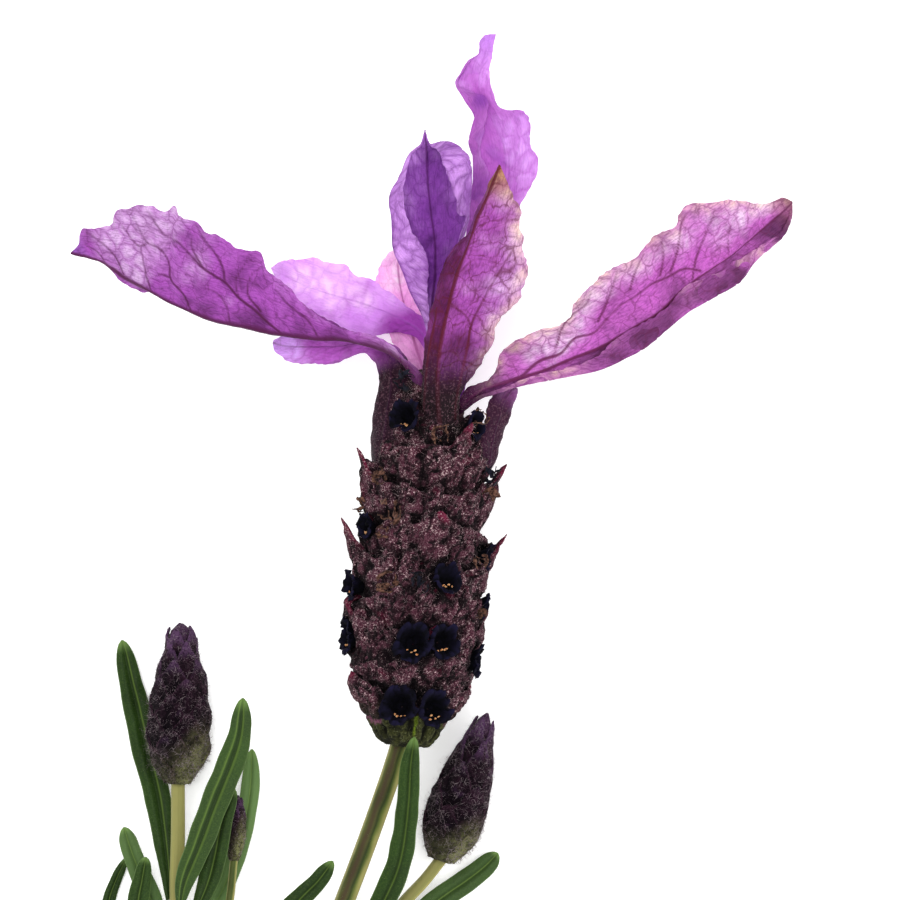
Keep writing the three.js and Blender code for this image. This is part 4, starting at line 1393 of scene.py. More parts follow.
@dataclass(frozen=True)
class Whorl:
    """Ring of two woolly bracts: heights along the axis, radii there, and length of the drawn-out point."""

    foot: float
    tip: float
    foot_radius: float
    tip_radius: float
    point: float
    flare: float = 0.2  # how far the point stands out
    skew: float = 0.0  # how far it turns to the right, in degrees


@dataclass(frozen=True)
class Floret:
    """Open floret: height of its mouth on the picture, angle round the spike, reach, radius and tilt."""

    y: float
    angle: float
    out: float
    radius: float
    tilt: float = 6.0


class Withered(Enum):
    """Colours of a withered corolla."""

    BROWN = "brown"
    NAVY = "navy"


@dataclass(frozen=True)
class Scrap:
    """Withered corolla: height on the picture, angle round the spike, reach, size and colour."""

    y: float
    angle: float
    out: float
    size: float
    kind: Withered = Withered.BROWN


@dataclass
class Spike:
    """Open flower spike: whorls of woolly bracts and calyces with open and withered florets."""

    foot: tuple[float, float, float] = (-4.45, -29.5, 7.7)
    lean: float = 0.0655
    bend: float = 0.0009
    turn: float = 14.0
    whorls: tuple[Whorl, ...] = (
        Whorl(0.0, 3.1, 2.2, 4.2, 0.9, 0.1, -3.0),
        Whorl(2.7, 6.6, 3.9, 6.2, 0.2, 0.0),
        Whorl(5.0, 9.6, 3.8, 6.9, 2.6, 0.3, 6.0),
        Whorl(7.6, 13.0, 6.1, 7.0, 1.2, 0.5),
        Whorl(10.7, 16.1, 5.6, 6.9, 0.7, 0.4, 10.0),
        Whorl(14.2, 19.6, 5.7, 7.1, 2.2, 1.5),
        Whorl(17.5, 22.9, 5.5, 6.8, 0.6, 0.3),
        Whorl(21.2, 26.6, 5.3, 6.5, 2.2, 1.3),
        Whorl(25.1, 30.5, 4.6, 6.0, 1.8, 0.8, 18.0),
        Whorl(28.6, 32.6, 4.2, 4.5, 0.0),
    )
    crown_floor: float = 3.4
    lip: tuple[float, ...] = (1.0, 0.74, 0.48, 0.26, 0.1, 0.0)  # rim height from a bract's tip to its side
    wall: float = 0.3
    petal_wall: float = 0.09
    calyx_radius: float = 1.0
    calyx_offsets: tuple[float, ...] = (-80, -54, -28, 0, 28, 54, 80)  # degrees from the middle of a bract
    anthers: int = 4
    shreds: int = 7  # of a withered corolla
    florets: tuple[Floret, ...] = (
        Floret(703, -8, 6.2, 2.0), Floret(704, 26, 6.1, 1.85), Floret(640, 0, 7.5, 1.95),
        Floret(637, 25, 7.3, 1.75), Floret(575, 22, 7.6, 1.65, 42), Floret(591, -70, 7.2, 1.6),
        Floret(641, -74, 7.0, 1.8), Floret(532, -58, 6.9, 1.3), Floret(551, 78, 6.8, 1.4),
        Floret(600, 82, 6.9, 1.3), Floret(655, 80, 6.7, 1.6), Floret(420, -33, 5.7, 1.7, 12),
        Floret(421, 50, 5.2, 1.4, 20), Floret(706, 178, 5.7, 1.8), Floret(706, 212, 5.7, 1.8),
        Floret(640, 184, 7.0, 1.8), Floret(636, 214, 7.0, 1.6), Floret(574, 200, 7.0, 1.5),
        Floret(505, 172, 6.8, 1.5), Floret(425, 165, 4.4, 1.5, 20),
    )
    scraps: tuple[Scrap, ...] = (
        Scrap(433, 6, 6.0, 1.3), Scrap(582, -26, 7.3, 1.2), Scrap(515, -30, 7.1, 1.3),
        Scrap(466, 80, 6.0, 1.2, Withered.NAVY), Scrap(487, 76, 6.4, 1.0), Scrap(512, -82, 6.6, 0.8),
        Scrap(608, 66, 7.1, 0.7), Scrap(412, 52, 5.2, 1.1), Scrap(581, 0, 7.9, 1.3, Withered.NAVY),
        Scrap(556, 56, 7.2, 0.9), Scrap(480, -48, 6.6, 0.9), Scrap(536, -36, 7.0, 0.8),
        Scrap(384, -40, 5.4, 1.2, Withered.NAVY), Scrap(520, 150, 6.8, 0.8), Scrap(590, 230, 7.0, 0.8),
    )

    def at(self, along: Any, out: Any, angle: Any) -> np.ndarray:
        """Points at a distance along the axis, one from it, and an angle from the viewer to the right.

        Args:
            along: distances along the axis.
            out: distances from it.
            angle: angles round it, in degrees.

        Returns:
            One place for each.
        """
        along, out, angle = np.broadcast_arrays(along, out, np.radians(angle))
        slope = self.lean + 2 * self.bend * along
        length = np.hypot(1, slope)
        side = out * np.sin(angle)
        x = self.foot[0] + self.lean * along + self.bend * along**2 + side / length
        y = self.foot[1] + along - side * slope / length
        return np.stack((x, y, self.foot[2] + out * np.cos(angle)), axis=-1)

    def along_of(self, y: float) -> float:
        """Distance along the axis of a height on the picture."""
        return (PICTURE_CENTRE - y) / PIXELS_PER_MM - self.foot[1]

    def middle_of(self, number: int, side: int) -> float:
        """Angle of the middle of one of a whorl's two bracts, in degrees."""
        return self.turn + (number % 2) * 90 + side * 180

    def rim(self, number: int, angle: np.ndarray) -> np.ndarray:
        """Height along the axis of a whorl's rim, at angles round the spike.

        Args:
            number: the whorl, from 0 at the foot.
            angle: angles round it, in degrees.

        Returns:
            One height for each angle.
        """
        whorl = self.whorls[number]
        floor = self.whorls[number + 1].foot - whorl.foot - 0.05
        turned = (angle - self.turn - (number % 2) * 90) % 180
        away = np.minimum(turned, 180 - turned)
        lip = np.interp(away, LIP_ANGLES, self.lip)
        drawn = (whorl.point + 0.2) * hump(away, 7.0)
        return whorl.foot + floor + (whorl.tip - whorl.foot - floor) * lip + drawn

    def bract(self, number: int, side: int) -> Form:
        """One of a whorl's two bracts, folded round half of the spike.

        Args:
            number: the whorl, from 0 at the foot.
            side: 0 or 1.

        Returns:
            The bract as a closed sheet.
        """
        whorl = self.whorls[number]
        s = np.linspace(-1, 1, 89)
        u = np.linspace(0, 1, 30)[:, None]
        seed = number * 3.7 + side * 1.3
        point = hump(s, POINT_WIDTH)
        rise = self._bract_rise(number, s, seed)
        height = rise * u
        share = np.clip(1.2 * height / (whorl.tip - whorl.foot), 0, 1) ** 0.65
        radius = whorl.foot_radius - 0.25 + (whorl.tip_radius - whorl.foot_radius) * share
        radius = radius - 0.1 * u**5 * (1 - point) - 0.4 * np.abs(s) ** 8 + whorl.flare * point * u**4
        radius += 0.22 * hump(s, 0.05) * u
        angle = self.middle_of(number, side) + s * HALF_ROUND + whorl.skew * u**2 * hump(s, 0.3)
        grid = self.at(whorl.foot + height, radius, angle)
        lumps = self._bract_lumps(number, grid, u, angle, seed)
        grid += grid_normals(grid) * (lumps * (1 - 0.85 * point * u**2))[..., None]
        grid[..., 1] += ripple(grid, 0.6, seed + 11) * 0.2 * u**4
        fur = smoothstep(0.0, 0.2, u) * (0.15 + 0.85 * smoothstep(-0.05, 0.35, ripple(grid, 1.2, seed + 15)))
        fur = fur * np.clip(0.55 + 1.7 * lumps, 0.05, 1.3) + 0.9 * u**8
        grid, fur, clear = self._clear_of_florets(grid, fur, point * u**2 * (whorl.flare > 1))
        # Painted shade: darker in the creases between the lumps, and above the foot whorl also under the rim
        # of the whorl below and round the florets; lighter towards the bract's own rim.
        painted_shade = np.clip(0.46 + 1.75 * lumps, 0, 1) + 0.35 * u**6
        if number > 0:
            above = whorl.foot + height - self.rim(number - 1, angle)
            painted_shade = painted_shade * clear * (0.2 + 0.8 * smoothstep(-0.1, 1.9, above))
            green = 0.3 * (1 - smoothstep(0.2, 0.8, u)) if number == 1 else 0.0
            return shell(grid, self.wall, (hump(rise - height, 0.9) * hump(s, 0.11), green, painted_shade, 0.0), fur)
        tip = (0.8 + ripple(grid, 0.5, seed + 31)) * smoothstep(0.6, 0.95, u)
        tip = tip * smoothstep(0.4, 0.7, np.abs(s))
        midrib = 0.75 * hump(s, 0.028) * smoothstep(0.1, 0.4, u)
        midrib = midrib + 0.25 * hump(s + 0.3 + 0.2 * u, 0.03) * smoothstep(0.1, 0.3, u)
        return shell(grid, self.wall, (np.clip(tip, 0, 1), 0.0, painted_shade, np.clip(midrib, 0, 1)), fur)

    def _bract_rise(self, number: int, s: np.ndarray, seed: float) -> np.ndarray:
        """Height of a bract's frilled rim above its foot.

        Args:
            number: the whorl.
            s: places across the bract, from -1 to 1.
            seed: of its frill.

        Returns:
            One height for each place.
        """
        whorl = self.whorls[number]
        last = number == len(self.whorls) - 1
        floor = self.crown_floor if last else self.whorls[number + 1].foot - whorl.foot - 0.3
        tall = whorl.tip - whorl.foot
        lip = np.interp(np.abs(s) * 90, LIP_ANGLES, self.lip)
        point = hump(s, POINT_WIDTH)
        line = np.stack((s, s * 0 + seed, s * 0), axis=-1)
        frill = ripple(line, 0.11, seed) * 0.4 + ripple(line, 0.3, seed + 2) * 0.7 * (1 - point)
        if number == 0:
            frill = frill * 0.6
        return floor + 0.25 + (tall - floor - 0.25) * lip + (whorl.point + 0.2) * point + frill

    @staticmethod
    def _bract_lumps(
        number: int, grid: np.ndarray, u: np.ndarray, angle: np.ndarray, seed: float
    ) -> np.ndarray:
        """Relief of a bract: lumps of wool and creases between them, and ribs at the foot of the spike.

        Args:
            number: the whorl.
            grid: the bract's points.
            u: shares of its length.
            angle: angles round the spike, in degrees.
            seed: of its noise.

        Returns:
            One height for each point.
        """
        creased = 0.6 - 2.4 * np.abs(ripple(grid * np.array([1, 0.5, 1]), 0.9, seed + 19))
        creased = creased - 1.2 * np.abs(ripple(grid, 1.6, seed + 23))
        lumps = ripple(grid, 1.9, seed) * 0.36 + ripple(grid, 0.8, seed + 5) * 0.26
        lumps = lumps + ripple(grid, 0.42, seed + 9) * 0.18
        lumps = lumps + creased * 0.35
        if number == 0:
            lumps = lumps * 0.5 + 0.16 * np.cos(np.radians(angle) * 15 + 2 * u) * smoothstep(0.1, 0.5, u)
        return lumps

    def _floret_axes(self, item: Floret) -> tuple[np.ndarray, np.ndarray, np.ndarray]:
        """Centre of a floret's mouth, its direction outwards and the direction towards the crown.

        Args:
            item: the floret.

        Returns:
            The centre and the two directions.
        """
        along = self.along_of(item.y)
        centre = self.at(along, item.out, item.angle)
        outward = unit(self.at(along, item.out + 1, item.angle) - centre)
        onward = unit(self.at(along + 1, item.out, item.angle) - centre)
        return centre, outward, onward

    def _clear_of_florets(
        self, grid: np.ndarray, fur: Any, held: Any = 0.0
    ) -> tuple[np.ndarray, np.ndarray, np.ndarray]:
        """Press a surface down behind the open florets.

        Args:
            grid: its points.
            fur: how furry each is.
            held: how far each stays where it is, from 0 to 1.

        Returns:
            The points, the fur, with none of it in a floret's mouth, and how far each point is from being
            in the shade of a floret, from 0 to 1.
        """
        clear = np.ones(grid.shape[:2])
        for item in self.florets:
            centre, outward, _ = self._floret_axes(item)
            offset = grid - centre
            high = offset @ outward
            near = np.abs(high) < 2.5 * item.radius
            away = np.linalg.norm(offset - high[..., None] * outward, axis=-1)
            inside = smoothstep(1.05 * item.radius, 0.8 * item.radius, away) * near
            inside = inside * (1 - held)
            clear = clear * (1 - 0.75 * smoothstep(1.55, 0.95, away / item.radius) * near)
            grid = grid - (np.maximum(high + item.radius, 0) * inside)[..., None] * outward
            fur = fur * (1 - inside)
        return grid, fur, clear

    def calyces(self, number: int) -> list[Form]:
        """The ribbed woolly calyces that stand behind a whorl's bracts."""
        return [self._calyx(number, side, k) for side in (0, 1) for k in range(len(self.calyx_offsets))]

    def _calyx(self, number: int, side: int, k: int) -> Form:
        """One calyx.

        Args:
            number: the whorl, from 0 at the foot.
            side: 0 or 1, the bract that it stands behind.
            k: its number behind the bract.

        Returns:
            The closed calyx.
        """
        whorl = self.whorls[number]
        offset = self.calyx_offsets[k]
        chance = np.random.default_rng(300 + number * 20 + k + side * 180).uniform(-1, 1, 4)
        angle = self.middle_of(number, side) + offset + (number % 3 - 1) * 11 + 9 * chance[0]
        lip = float(np.interp(abs(offset), LIP_ANGLES, self.lip))
        top = whorl.foot + (whorl.tip - whorl.foot) * (0.66 + 0.3 * lip) + 0.6 + 0.9 * chance[1]
        v = np.linspace(0, 1, 14)[:, None]
        flared = 0.2 + (0.4 + 0.3 * lip) * v
        radius = whorl.foot_radius + (whorl.tip_radius - whorl.foot_radius) * flared - 0.45
        theta = full_turn(18)
        girth = np.interp(v, (0, 0.4, 0.7, 0.9, 1.0), (0.6, 1.0, 0.92, 0.66, 0.2))
        ribs = 1 + 0.07 * np.cos(theta * 6 + 3 * chance[0])
        size = (0.95 + 0.2 * chance[2]) * self.calyx_radius * girth * ribs
        reach = np.interp(v, (0, 0.92, 1.0), (0.0, 1.0, 0.86))
        along = whorl.foot + 1.0 + (top - whorl.foot - 1.0) * reach
        spot = radius + size * np.sin(theta) + (0.25 + 0.3 * chance[3]) * v
        around = np.degrees(size * np.cos(theta) / np.maximum(spot, 1.0))
        rings = self.at(along, spot, angle + 8 * chance[1] * v + around)
        lumps = ripple(rings, 0.45, number + k)
        rings = rings + (lumps * 0.16 + ripple(rings, 1.1, 60.0 + k) * 0.3)[..., None]
        fur = smoothstep(0.3, 0.6, v) * (0.3 + 0.7 * smoothstep(-0.1, 0.3, ripple(rings, 1.5, 15.0)))
        rings, fur, clear = self._clear_of_florets(rings, fur)
        # Painted shade under the rim of the whorl below, round the florets and in the creases between the
        # lumps; it also darkens the calyx's top.
        shade = 0.2 + 0.8 * smoothstep(0.0, 2.2, along - self.rim(number - 1, angle))
        shade = shade * clear * (1 - 0.6 * smoothstep(0.9, 1.0, v))
        tip = 0.5 * smoothstep(0.85, 1.0, v)
        return tube(rings, (tip, 0.0, np.clip(0.5 + 1.5 * lumps, 0, 1) * shade, 0.0), fur)

    def heart(self) -> Form:
        """The woolly top of the spike, between the feet of the crown's bracts.

        Returns:
            The top as a closed form.
        """
        v = np.linspace(0, 1, 26)[:, None]
        theta = full_turn(44, 360.0)
        along = 27.5 + 10.0 * v
        radius = 4.3 * np.sqrt(1 - 0.98 * v**3.4)
        rings = self.at(along, radius, theta)
        lumps = ripple(rings, 1.3, 70.0) * 0.7 + ripple(rings, 0.5, 75.0) * 0.3
        rings = self.at(along, radius + lumps, theta) - np.array([1.3, 0.0, 0.3])
        # Painted shade in the creases between the lumps.
        tone = (0.0, 0.0, np.clip(0.35 + lumps, 0, 1), 0.0)
        rings, fur, _ = self._clear_of_florets(rings, 1.0)
        return tube(rings, tone, fur)

    def floret(self, item: Floret, number: int) -> tuple[Form, list[Form]]:
        """An open corolla with five round lobes, and the anthers low in its throat.

        Args:
            item: its place and size.
            number: seeds its unevenness.

        Returns:
            The corolla, and the anthers.
        """
        origin, outward, onward = self._floret_axes(item)
        tilt = math.radians(item.tilt)
        direction = outward * math.cos(tilt) + onward * math.sin(tilt)
        u = np.linspace(0, 1, 16)[:, None]
        theta = np.linspace(0, 2 * math.pi, 61)[None]
        swing = theta + 0.12 * np.sin(3 * theta + number)
        lobes = 0.76 + 0.24 * np.abs(np.cos(2.5 * (swing - math.radians(54)))) ** 0.45
        lobes = lobes + 0.06 * np.sin(2 * theta + 3 * number)
        upper = 0.5 + 0.5 * np.sin(theta)
        opened = smoothstep(0.4, 1.0, u)
        width = np.interp(u, (0, 0.25, 0.5, 1.0), (0.02, 0.3, 0.52, 1.0))
        wide = width * (1 + (lobes - 1) * opened) * item.radius * (0.97 + 0.06 * upper)
        depth = np.interp(u, (0, 0.25, 0.5, 0.75, 1.0), (-0.95, -0.85, -0.35, 0.04, 0.0)) * item.radius
        depth = depth + item.radius * opened * (0.24 * upper - 0.22 * (1 - upper))
        folds = np.cos(11 * swing + number) * 0.5 + np.cos(17 * swing + 2 * number) * 0.5
        depth = depth + folds * 0.12 * opened + (lobes - 0.9) * 1.4 * smoothstep(0.5, 0.9, u)
        local = (wide * np.cos(theta), wide * np.sin(theta) * 1.06, depth)
        local = np.stack(np.broadcast_arrays(*local), axis=-1)
        grid = stand_on(origin, direction, local, onward)
        crinkle = ripple(grid, 0.7, number * 1.7) * 0.34 + ripple(grid, 0.32, number * 2.3) * 0.18
        crinkle[:, -1] = crinkle[:, 0]
        grid = grid + (crinkle * u)[..., None]
        # Painted sheen: the bluish edge colour shows on the raised crinkles and folds towards the lobes.
        fold_sheen = np.clip(0.35 + 2.2 * crinkle + 0.3 * folds, 0, 1)
        corolla = shell(grid, self.petal_wall, (fold_sheen * smoothstep(0.45, 0.95, u), 0.0, u, 1.0), 0.0)
        rng = np.random.default_rng(40 + number)
        anthers = []
        for k in range(self.anthers):
            spot = np.array([(-0.24 + 0.16 * k), -0.42 + 0.06 * rng.standard_normal(), -0.2]) * item.radius
            spot = spot + rng.uniform(-0.16, 0.16, 3)
            ball = self._anther(rng.uniform(0.06, 0.13), k + number)
            anthers.append(tube(stand_on(origin, direction, ball + spot, onward)))
        return corolla, anthers

    @staticmethod
    def _anther(size: float, seed: float) -> np.ndarray:
        """Rings of an uneven grain of a radius in millimetres, round the origin.

        Args:
            size: the grain's radius.
            seed: shifts its bumps.

        Returns:
            The rings, in rows.
        """
        v = np.linspace(0, math.pi, 6)[:, None]
        w = full_turn(8)[None]
        across, up = np.sin(v) * np.cos(w) * size * 1.4, np.sin(v) * np.sin(w) * size * 0.9
        ball = np.stack(np.broadcast_arrays(across, up, np.cos(v) * size * 0.8), axis=-1)
        return ball + ripple(ball, 0.09, seed)[..., None] * 0.11

    def scrap(self, item: Scrap, number: int) -> Form:
        """A withered corolla: a few thin curled shreds.

        Args:
            item: its place and size.
            number: seeds its shreds.

        Returns:
            The shreds.
        """
        rng = np.random.default_rng(90 + number)
        centre = self.at(self.along_of(item.y), item.out, item.angle)
        theta = full_turn(7)
        forms = []
        for _ in range(self.shreds):
            v = np.linspace(0, 1, 12)[:, None]
            phase, loops = rng.uniform(0, 6.3), rng.uniform(0.08, 0.36)
            axis = unit(rng.standard_normal(3))
            side = unit(np.cross(axis, rng.standard_normal(3)))
            other = np.cross(axis, side)
            bow = phase + loops * 2 * math.pi * v
            wide = item.size * rng.uniform(0.4, 1.0)
            route = centre + wide * (np.cos(bow) * side + np.sin(bow) * other) + axis * (v - 0.5) * item.size
            thick = (0.04 + 0.17 * np.sin(math.pi * v) ** 0.7) * rng.uniform(0.4, 1.6)
            profile = np.stack((np.cos(theta) * thick, np.sin(theta) * 0.045 * np.ones_like(thick)), axis=-1)
            rings = sweep(route, profile, unit(rng.standard_normal(3)))
            forms.append(tube(rings + ripple(rings, 0.45, number)[..., None] * 0.22))
        return Form.join(forms)

    def build(self, wardrobe: Wardrobe) -> None:
        """Make the spike's pieces.

        Args:
            wardrobe: holder of the materials and the hair trees.
        """
        finishes = wardrobe.finishes
        names = [f"whorl_{k + 1:02d}" for k in range(len(self.whorls))]
        sides = [Form.join([self.bract(k, 0), self.bract(k, 1)]) for k in range(len(self.whorls))]
        make_piece("green_base", sides[0], finishes["base"], names[:1])
        Coat("base_down", 12, 0.3, 0.014, 3).grow(sides[0], wardrobe, "green_down", Slot.SPIKE_BASE)
        for label, low, high in (("lower", 1, 4), ("middle", 4, 7), ("upper", 7, 10)):
            skin = Form.join(sides[low:high])
            make_piece(f"{label}_whorls", skin, finishes["velvet"], names[low:high])
            pods = [form for k in range(low, high) for form in self.calyces(k)]
            if high == len(self.whorls):
                pods.append(self.heart())
            make_piece(f"{label}_calyces", Form.join(pods), finishes["velvet"])
            both = Form.join([skin, *pods])
            down = Coat(f"{label}_down", 13, 0.28, 0.012, 10 + low, 1.2)
            down.grow(both, wardrobe, "down", Slot.SPIKE)
            wool = Coat(f"{label}_wool", 4.6, 0.62, 0.016, 20 + low, 1.3, HairShape.CURLED)
            wool.grow(both, wardrobe, "wool", Slot.SPIKE)
        flowers = [self.floret(item, k) for k, item in enumerate(self.florets)]
        corollas = Form.join([corolla for corolla, _ in flowers])
        make_piece("open_florets", corollas, finishes["corolla"])
        anthers = [form for _, pollen in flowers for form in pollen]
        make_piece("anthers", Form.join(anthers), finishes["anther"])
        for kind in Withered:
            shreds = [self.scrap(item, k) for k, item in enumerate(self.scraps) if item.kind is kind]
            finish = finishes["withered_" + kind.value]
            make_piece(kind.value + "_shreds", Form.join(shreds), finish)


# Closed spikes in bud


@dataclass
class Bud:
    """Closed spike: overlapping pointed scales round one tapering form."""

    name: str
    node: str
    foot: tuple[float, float, float]
    top: tuple[float, float, float]
    girth: tuple[float, ...]
    tiers: int
    phase: float
    per_tier: int = 5
    reach: float = 2.2  # length of a scale in tiers
    spread: float = 0.85  # half the angle that a scale covers at its foot
    flare: float = 0.05  # how far a scale's tip stands off
    down: float = 0.9  # length of its curled hairs
    green: float = 0.3  # share of its length that is green on one side
    wall: float = 0.2
    inset: float = 0.12  # of the scales' feet from the girth
    start: np.ndarray = field(init=False)
    axis: np.ndarray = field(init=False)
    length: float = field(init=False)

    def __post_init__(self) -> None:
        """Work out the axis."""
        self.start, end = under_lens(np.array([self.foot, self.top], float))
        self.length = float(np.linalg.norm(end - self.start))
        self.axis = (end - self.start) / self.length

    def _around(self, height: Any, radius: Any, angle: Any) -> np.ndarray:
        """Points at a height along the bud's axis, a distance from it and an angle round it.

        Args:
            height: heights along the axis.
            radius: distances from it.
            angle: angles, in radians.

        Returns:
            One place for each.
        """
        height, radius, angle = np.broadcast_arrays(height, radius, angle)
        across = unit(np.cross(self.axis, UP))
        side = np.sin(angle)[..., None] * across + np.cos(angle)[..., None] * np.cross(across, self.axis)
        return self.start + height[..., None] * self.axis + radius[..., None] * side

    def _girth_at(self, share: np.ndarray) -> np.ndarray:
        """Radius under the scales, at shares of the length."""
        girth = np.array(self.girth)[:, None] - self.inset
        return curve_at(girth, share.ravel(), even=True)[:, 0].reshape(share.shape)

    def _core(self) -> Form:
        """The closed form under the scales.

        Returns:
            The body, without its scales.
        """
        v = np.linspace(0, 1, 24)[:, None]
        core = self._girth_at(v) * (0.84 + 0.14 * v**3) * np.sqrt(1 - 0.96 * v**14)
        rings = self._around(v * self.length, core, full_turn(24))
        rings = rings + (ripple(rings * np.array([1, 0.4, 1]), 0.7, self.phase) * 0.2)[..., None]
        tone = (0.5 * smoothstep(0.75, 0.95, v), 1 - smoothstep(0.2 * self.green, self.green, v), 0.6, 0.0)
        return tube(rings, tone, smoothstep(0.7, 0.9, v) * 0.6)

    def _scale(self, tier: int, k: int) -> Form:
        """One pointed scale.

        Args:
            tier: its tier, from 0 at the foot.
            k: its number in the tier.

        Returns:
            The scale as a closed sheet.
        """
        s = np.linspace(-1, 1, 19)
        u = np.linspace(0, 1, 18)[:, None]
        pitch = self.length / (self.tiers + self.reach - 1)
        seed = tier * 1.9 + k * 0.7 + self.phase
        uneven = float(noise.noise((seed * 3.1, 0.4, 2.2)))
        centre = self.phase + (math.pi / self.per_tier) * tier + 2 * math.pi * k / self.per_tier
        centre = centre + 0.2 * uneven
        rise = pitch * (self.reach + 0.3 * uneven) * (1 - 0.45 * np.abs(s) ** 1.9)
        height = np.minimum(tier * pitch + rise * u, self.length * (0.98 - 0.03 * np.abs(s) + 0.02 * uneven))
        share = np.clip(height / self.length, 0, 1)
        radius = self._girth_at(share) * (0.88 + 0.12 * u) + 0.12 * np.abs(s) ** 6 + 0.06 * hump(s, 0.12) * u
        radius += self.flare * u**3 * (1 - np.abs(s))
        radius *= np.sqrt(1 - 0.8 * smoothstep(0.86, 1.04, share) ** 2)
        angle = centre + s * (self.spread * (1 - 0.45 * u**2.5))
        grid = self._around(height, radius, angle)
        lumps = ripple(grid * np.array([1, 0.3, 1]), 0.5, seed) * 0.16 + ripple(grid, 0.35, seed + 4) * 0.1
        grid += grid_normals(grid) * lumps[..., None]
        tip = smoothstep(0.75 - 0.7 * share, 1.0, u) * (hump(s, 0.45) * (1 - share) + share)
        tip = tip * (0.1 + 1.2 * share**3)
        side = 0.2 + 0.8 * smoothstep(-0.3, 0.8, np.sin(angle))
        low = 1 - smoothstep(0.1 * self.green, (0.5 + 0.5 * side) * self.green, share)
        rib = 0.4 * hump(s, 0.08) * u * low
        margin = hump(1 - np.abs(s), 0.12) + hump(1 - u, 0.08)
        # Painted light and shade: lighter on one side, towards each scale's free end and up the bud, darker
        # in the creases; the pale margins are the colour of their fringe of hairs.
        lit = np.clip(0.05 + 1.3 * lumps + 0.25 * side + 0.15 * u + 0.7 * margin + 0.3 * share**3, 0, 1)
        fur = smoothstep(0, 0.3, u) * (0.4 + 0.8 * margin) + 0.8 * low * side
        return shell(grid, self.wall, (tip, low * side, lit, rib), fur)

    def build(self, wardrobe: Wardrobe) -> None:
        """Make the bud's scales and their down.

        Args:
            wardrobe: holder of the materials and the hair trees.
        """
        scales = [self._scale(tier, k) for tier in range(self.tiers) for k in range(self.per_tier)]
        skin = Form.join([self._core(), *scales])
        make_piece(self.name, skin, wardrobe.finishes["bud"], [self.node])
        seed = int(self.phase * 10)
        for coat in (
            Coat(self.name + "_down", 18, 0.36, 0.012, seed + 2, 1.1),
            Coat(self.name + "_wool", 8.5, self.down, 0.015, seed + 5, 1.35, HairShape.CURLED),
        ):
            coat.grow(skin, wardrobe, "bud_down", Slot.BUD)


BUDS: tuple[Bud, ...] = (
    Bud(
        "left_bud", "bud_left", foot=(-27.2, -33.3, 3.95), top=(-26.85, -17.3, 4.2),
        girth=(1.5, 3.0, 3.3, 3.1, 2.6, 1.75, 1.5), tiers=8, phase=0.4, down=1.1, green=0.46,
    ),
    Bud(
        "right_bud", "bud_right", foot=(-0.9, -40.95, 3.1), top=(3.7, -26.4, 3.4),
        girth=(1.6, 3.0, 3.1, 2.85, 2.3, 1.5, 1.0), tiers=5, phase=1.25, per_tier=4, reach=2.4, spread=1.05,
        down=1.4, green=0.4,
    ),
    Bud(
        "rear_bud", "bud_rear", foot=(-21.6, -41.0, 2.6), top=(-21.3, -34.6, 2.7),
        girth=(0.6, 0.95, 1.05, 0.9, 0.5), tiers=4, phase=0.2, down=0.4, green=0.9,
    ),
)


# Stems and leaves


@dataclass
class Stem:
    """Square-cornered stem that tapers along a route, with coloured stripes between its ridges."""

    node: str
    foot_radius: float
    top_radius: float
    route: Rows
    stripes: float = 1.0
    pale: float = 0.0  # how far its skin goes to the pale colour
    fur: float = 0.5
    steps: int = 150

    def build(self) -> Form:
        """Sweep the stem's section along its route.

        Returns:
            The stem as a closed form.
        """
        t = np.linspace(0, 1, self.steps)[:, None]
        route = under_lens(curve_at(np.array(self.route, float), t[:, 0]))
        theta = full_turn(48)[None]
        radius = self.foot_radius + (self.top_radius - self.foot_radius) * t
        section = radius * (1 + (0.05 * np.cos(4 * (theta - 0.5)) + 0.012 * np.cos(16 * theta)))
        rings = sweep(route, np.stack((section * np.cos(theta), section * np.sin(theta)), axis=-1), UP)
        across = np.cos(theta) + ripple(rings * np.array([1, 0.25, 1]), 0.7, 3.0) * 0.12
        brown = hump(across + 0.25, 0.4) * 0.9
        dark = hump(across - 0.22, 0.15)
        pale = np.maximum(smoothstep(0.42, 0.84, across) + smoothstep(0.68, 1.05, -across), self.pale) * 0.9
        fade = smoothstep(1.0, 0.6, t) * 0.3 + 0.7
        below = smoothstep(0.1, -0.4, np.sin(theta))
        flush = brown * self.stripes * fade * (1 - 0.6 * below)
        tone = [np.clip(part, 0, 1) for part in (0.0, dark * self.stripes, pale, flush)]
        return tube(rings, tone, self.fur)


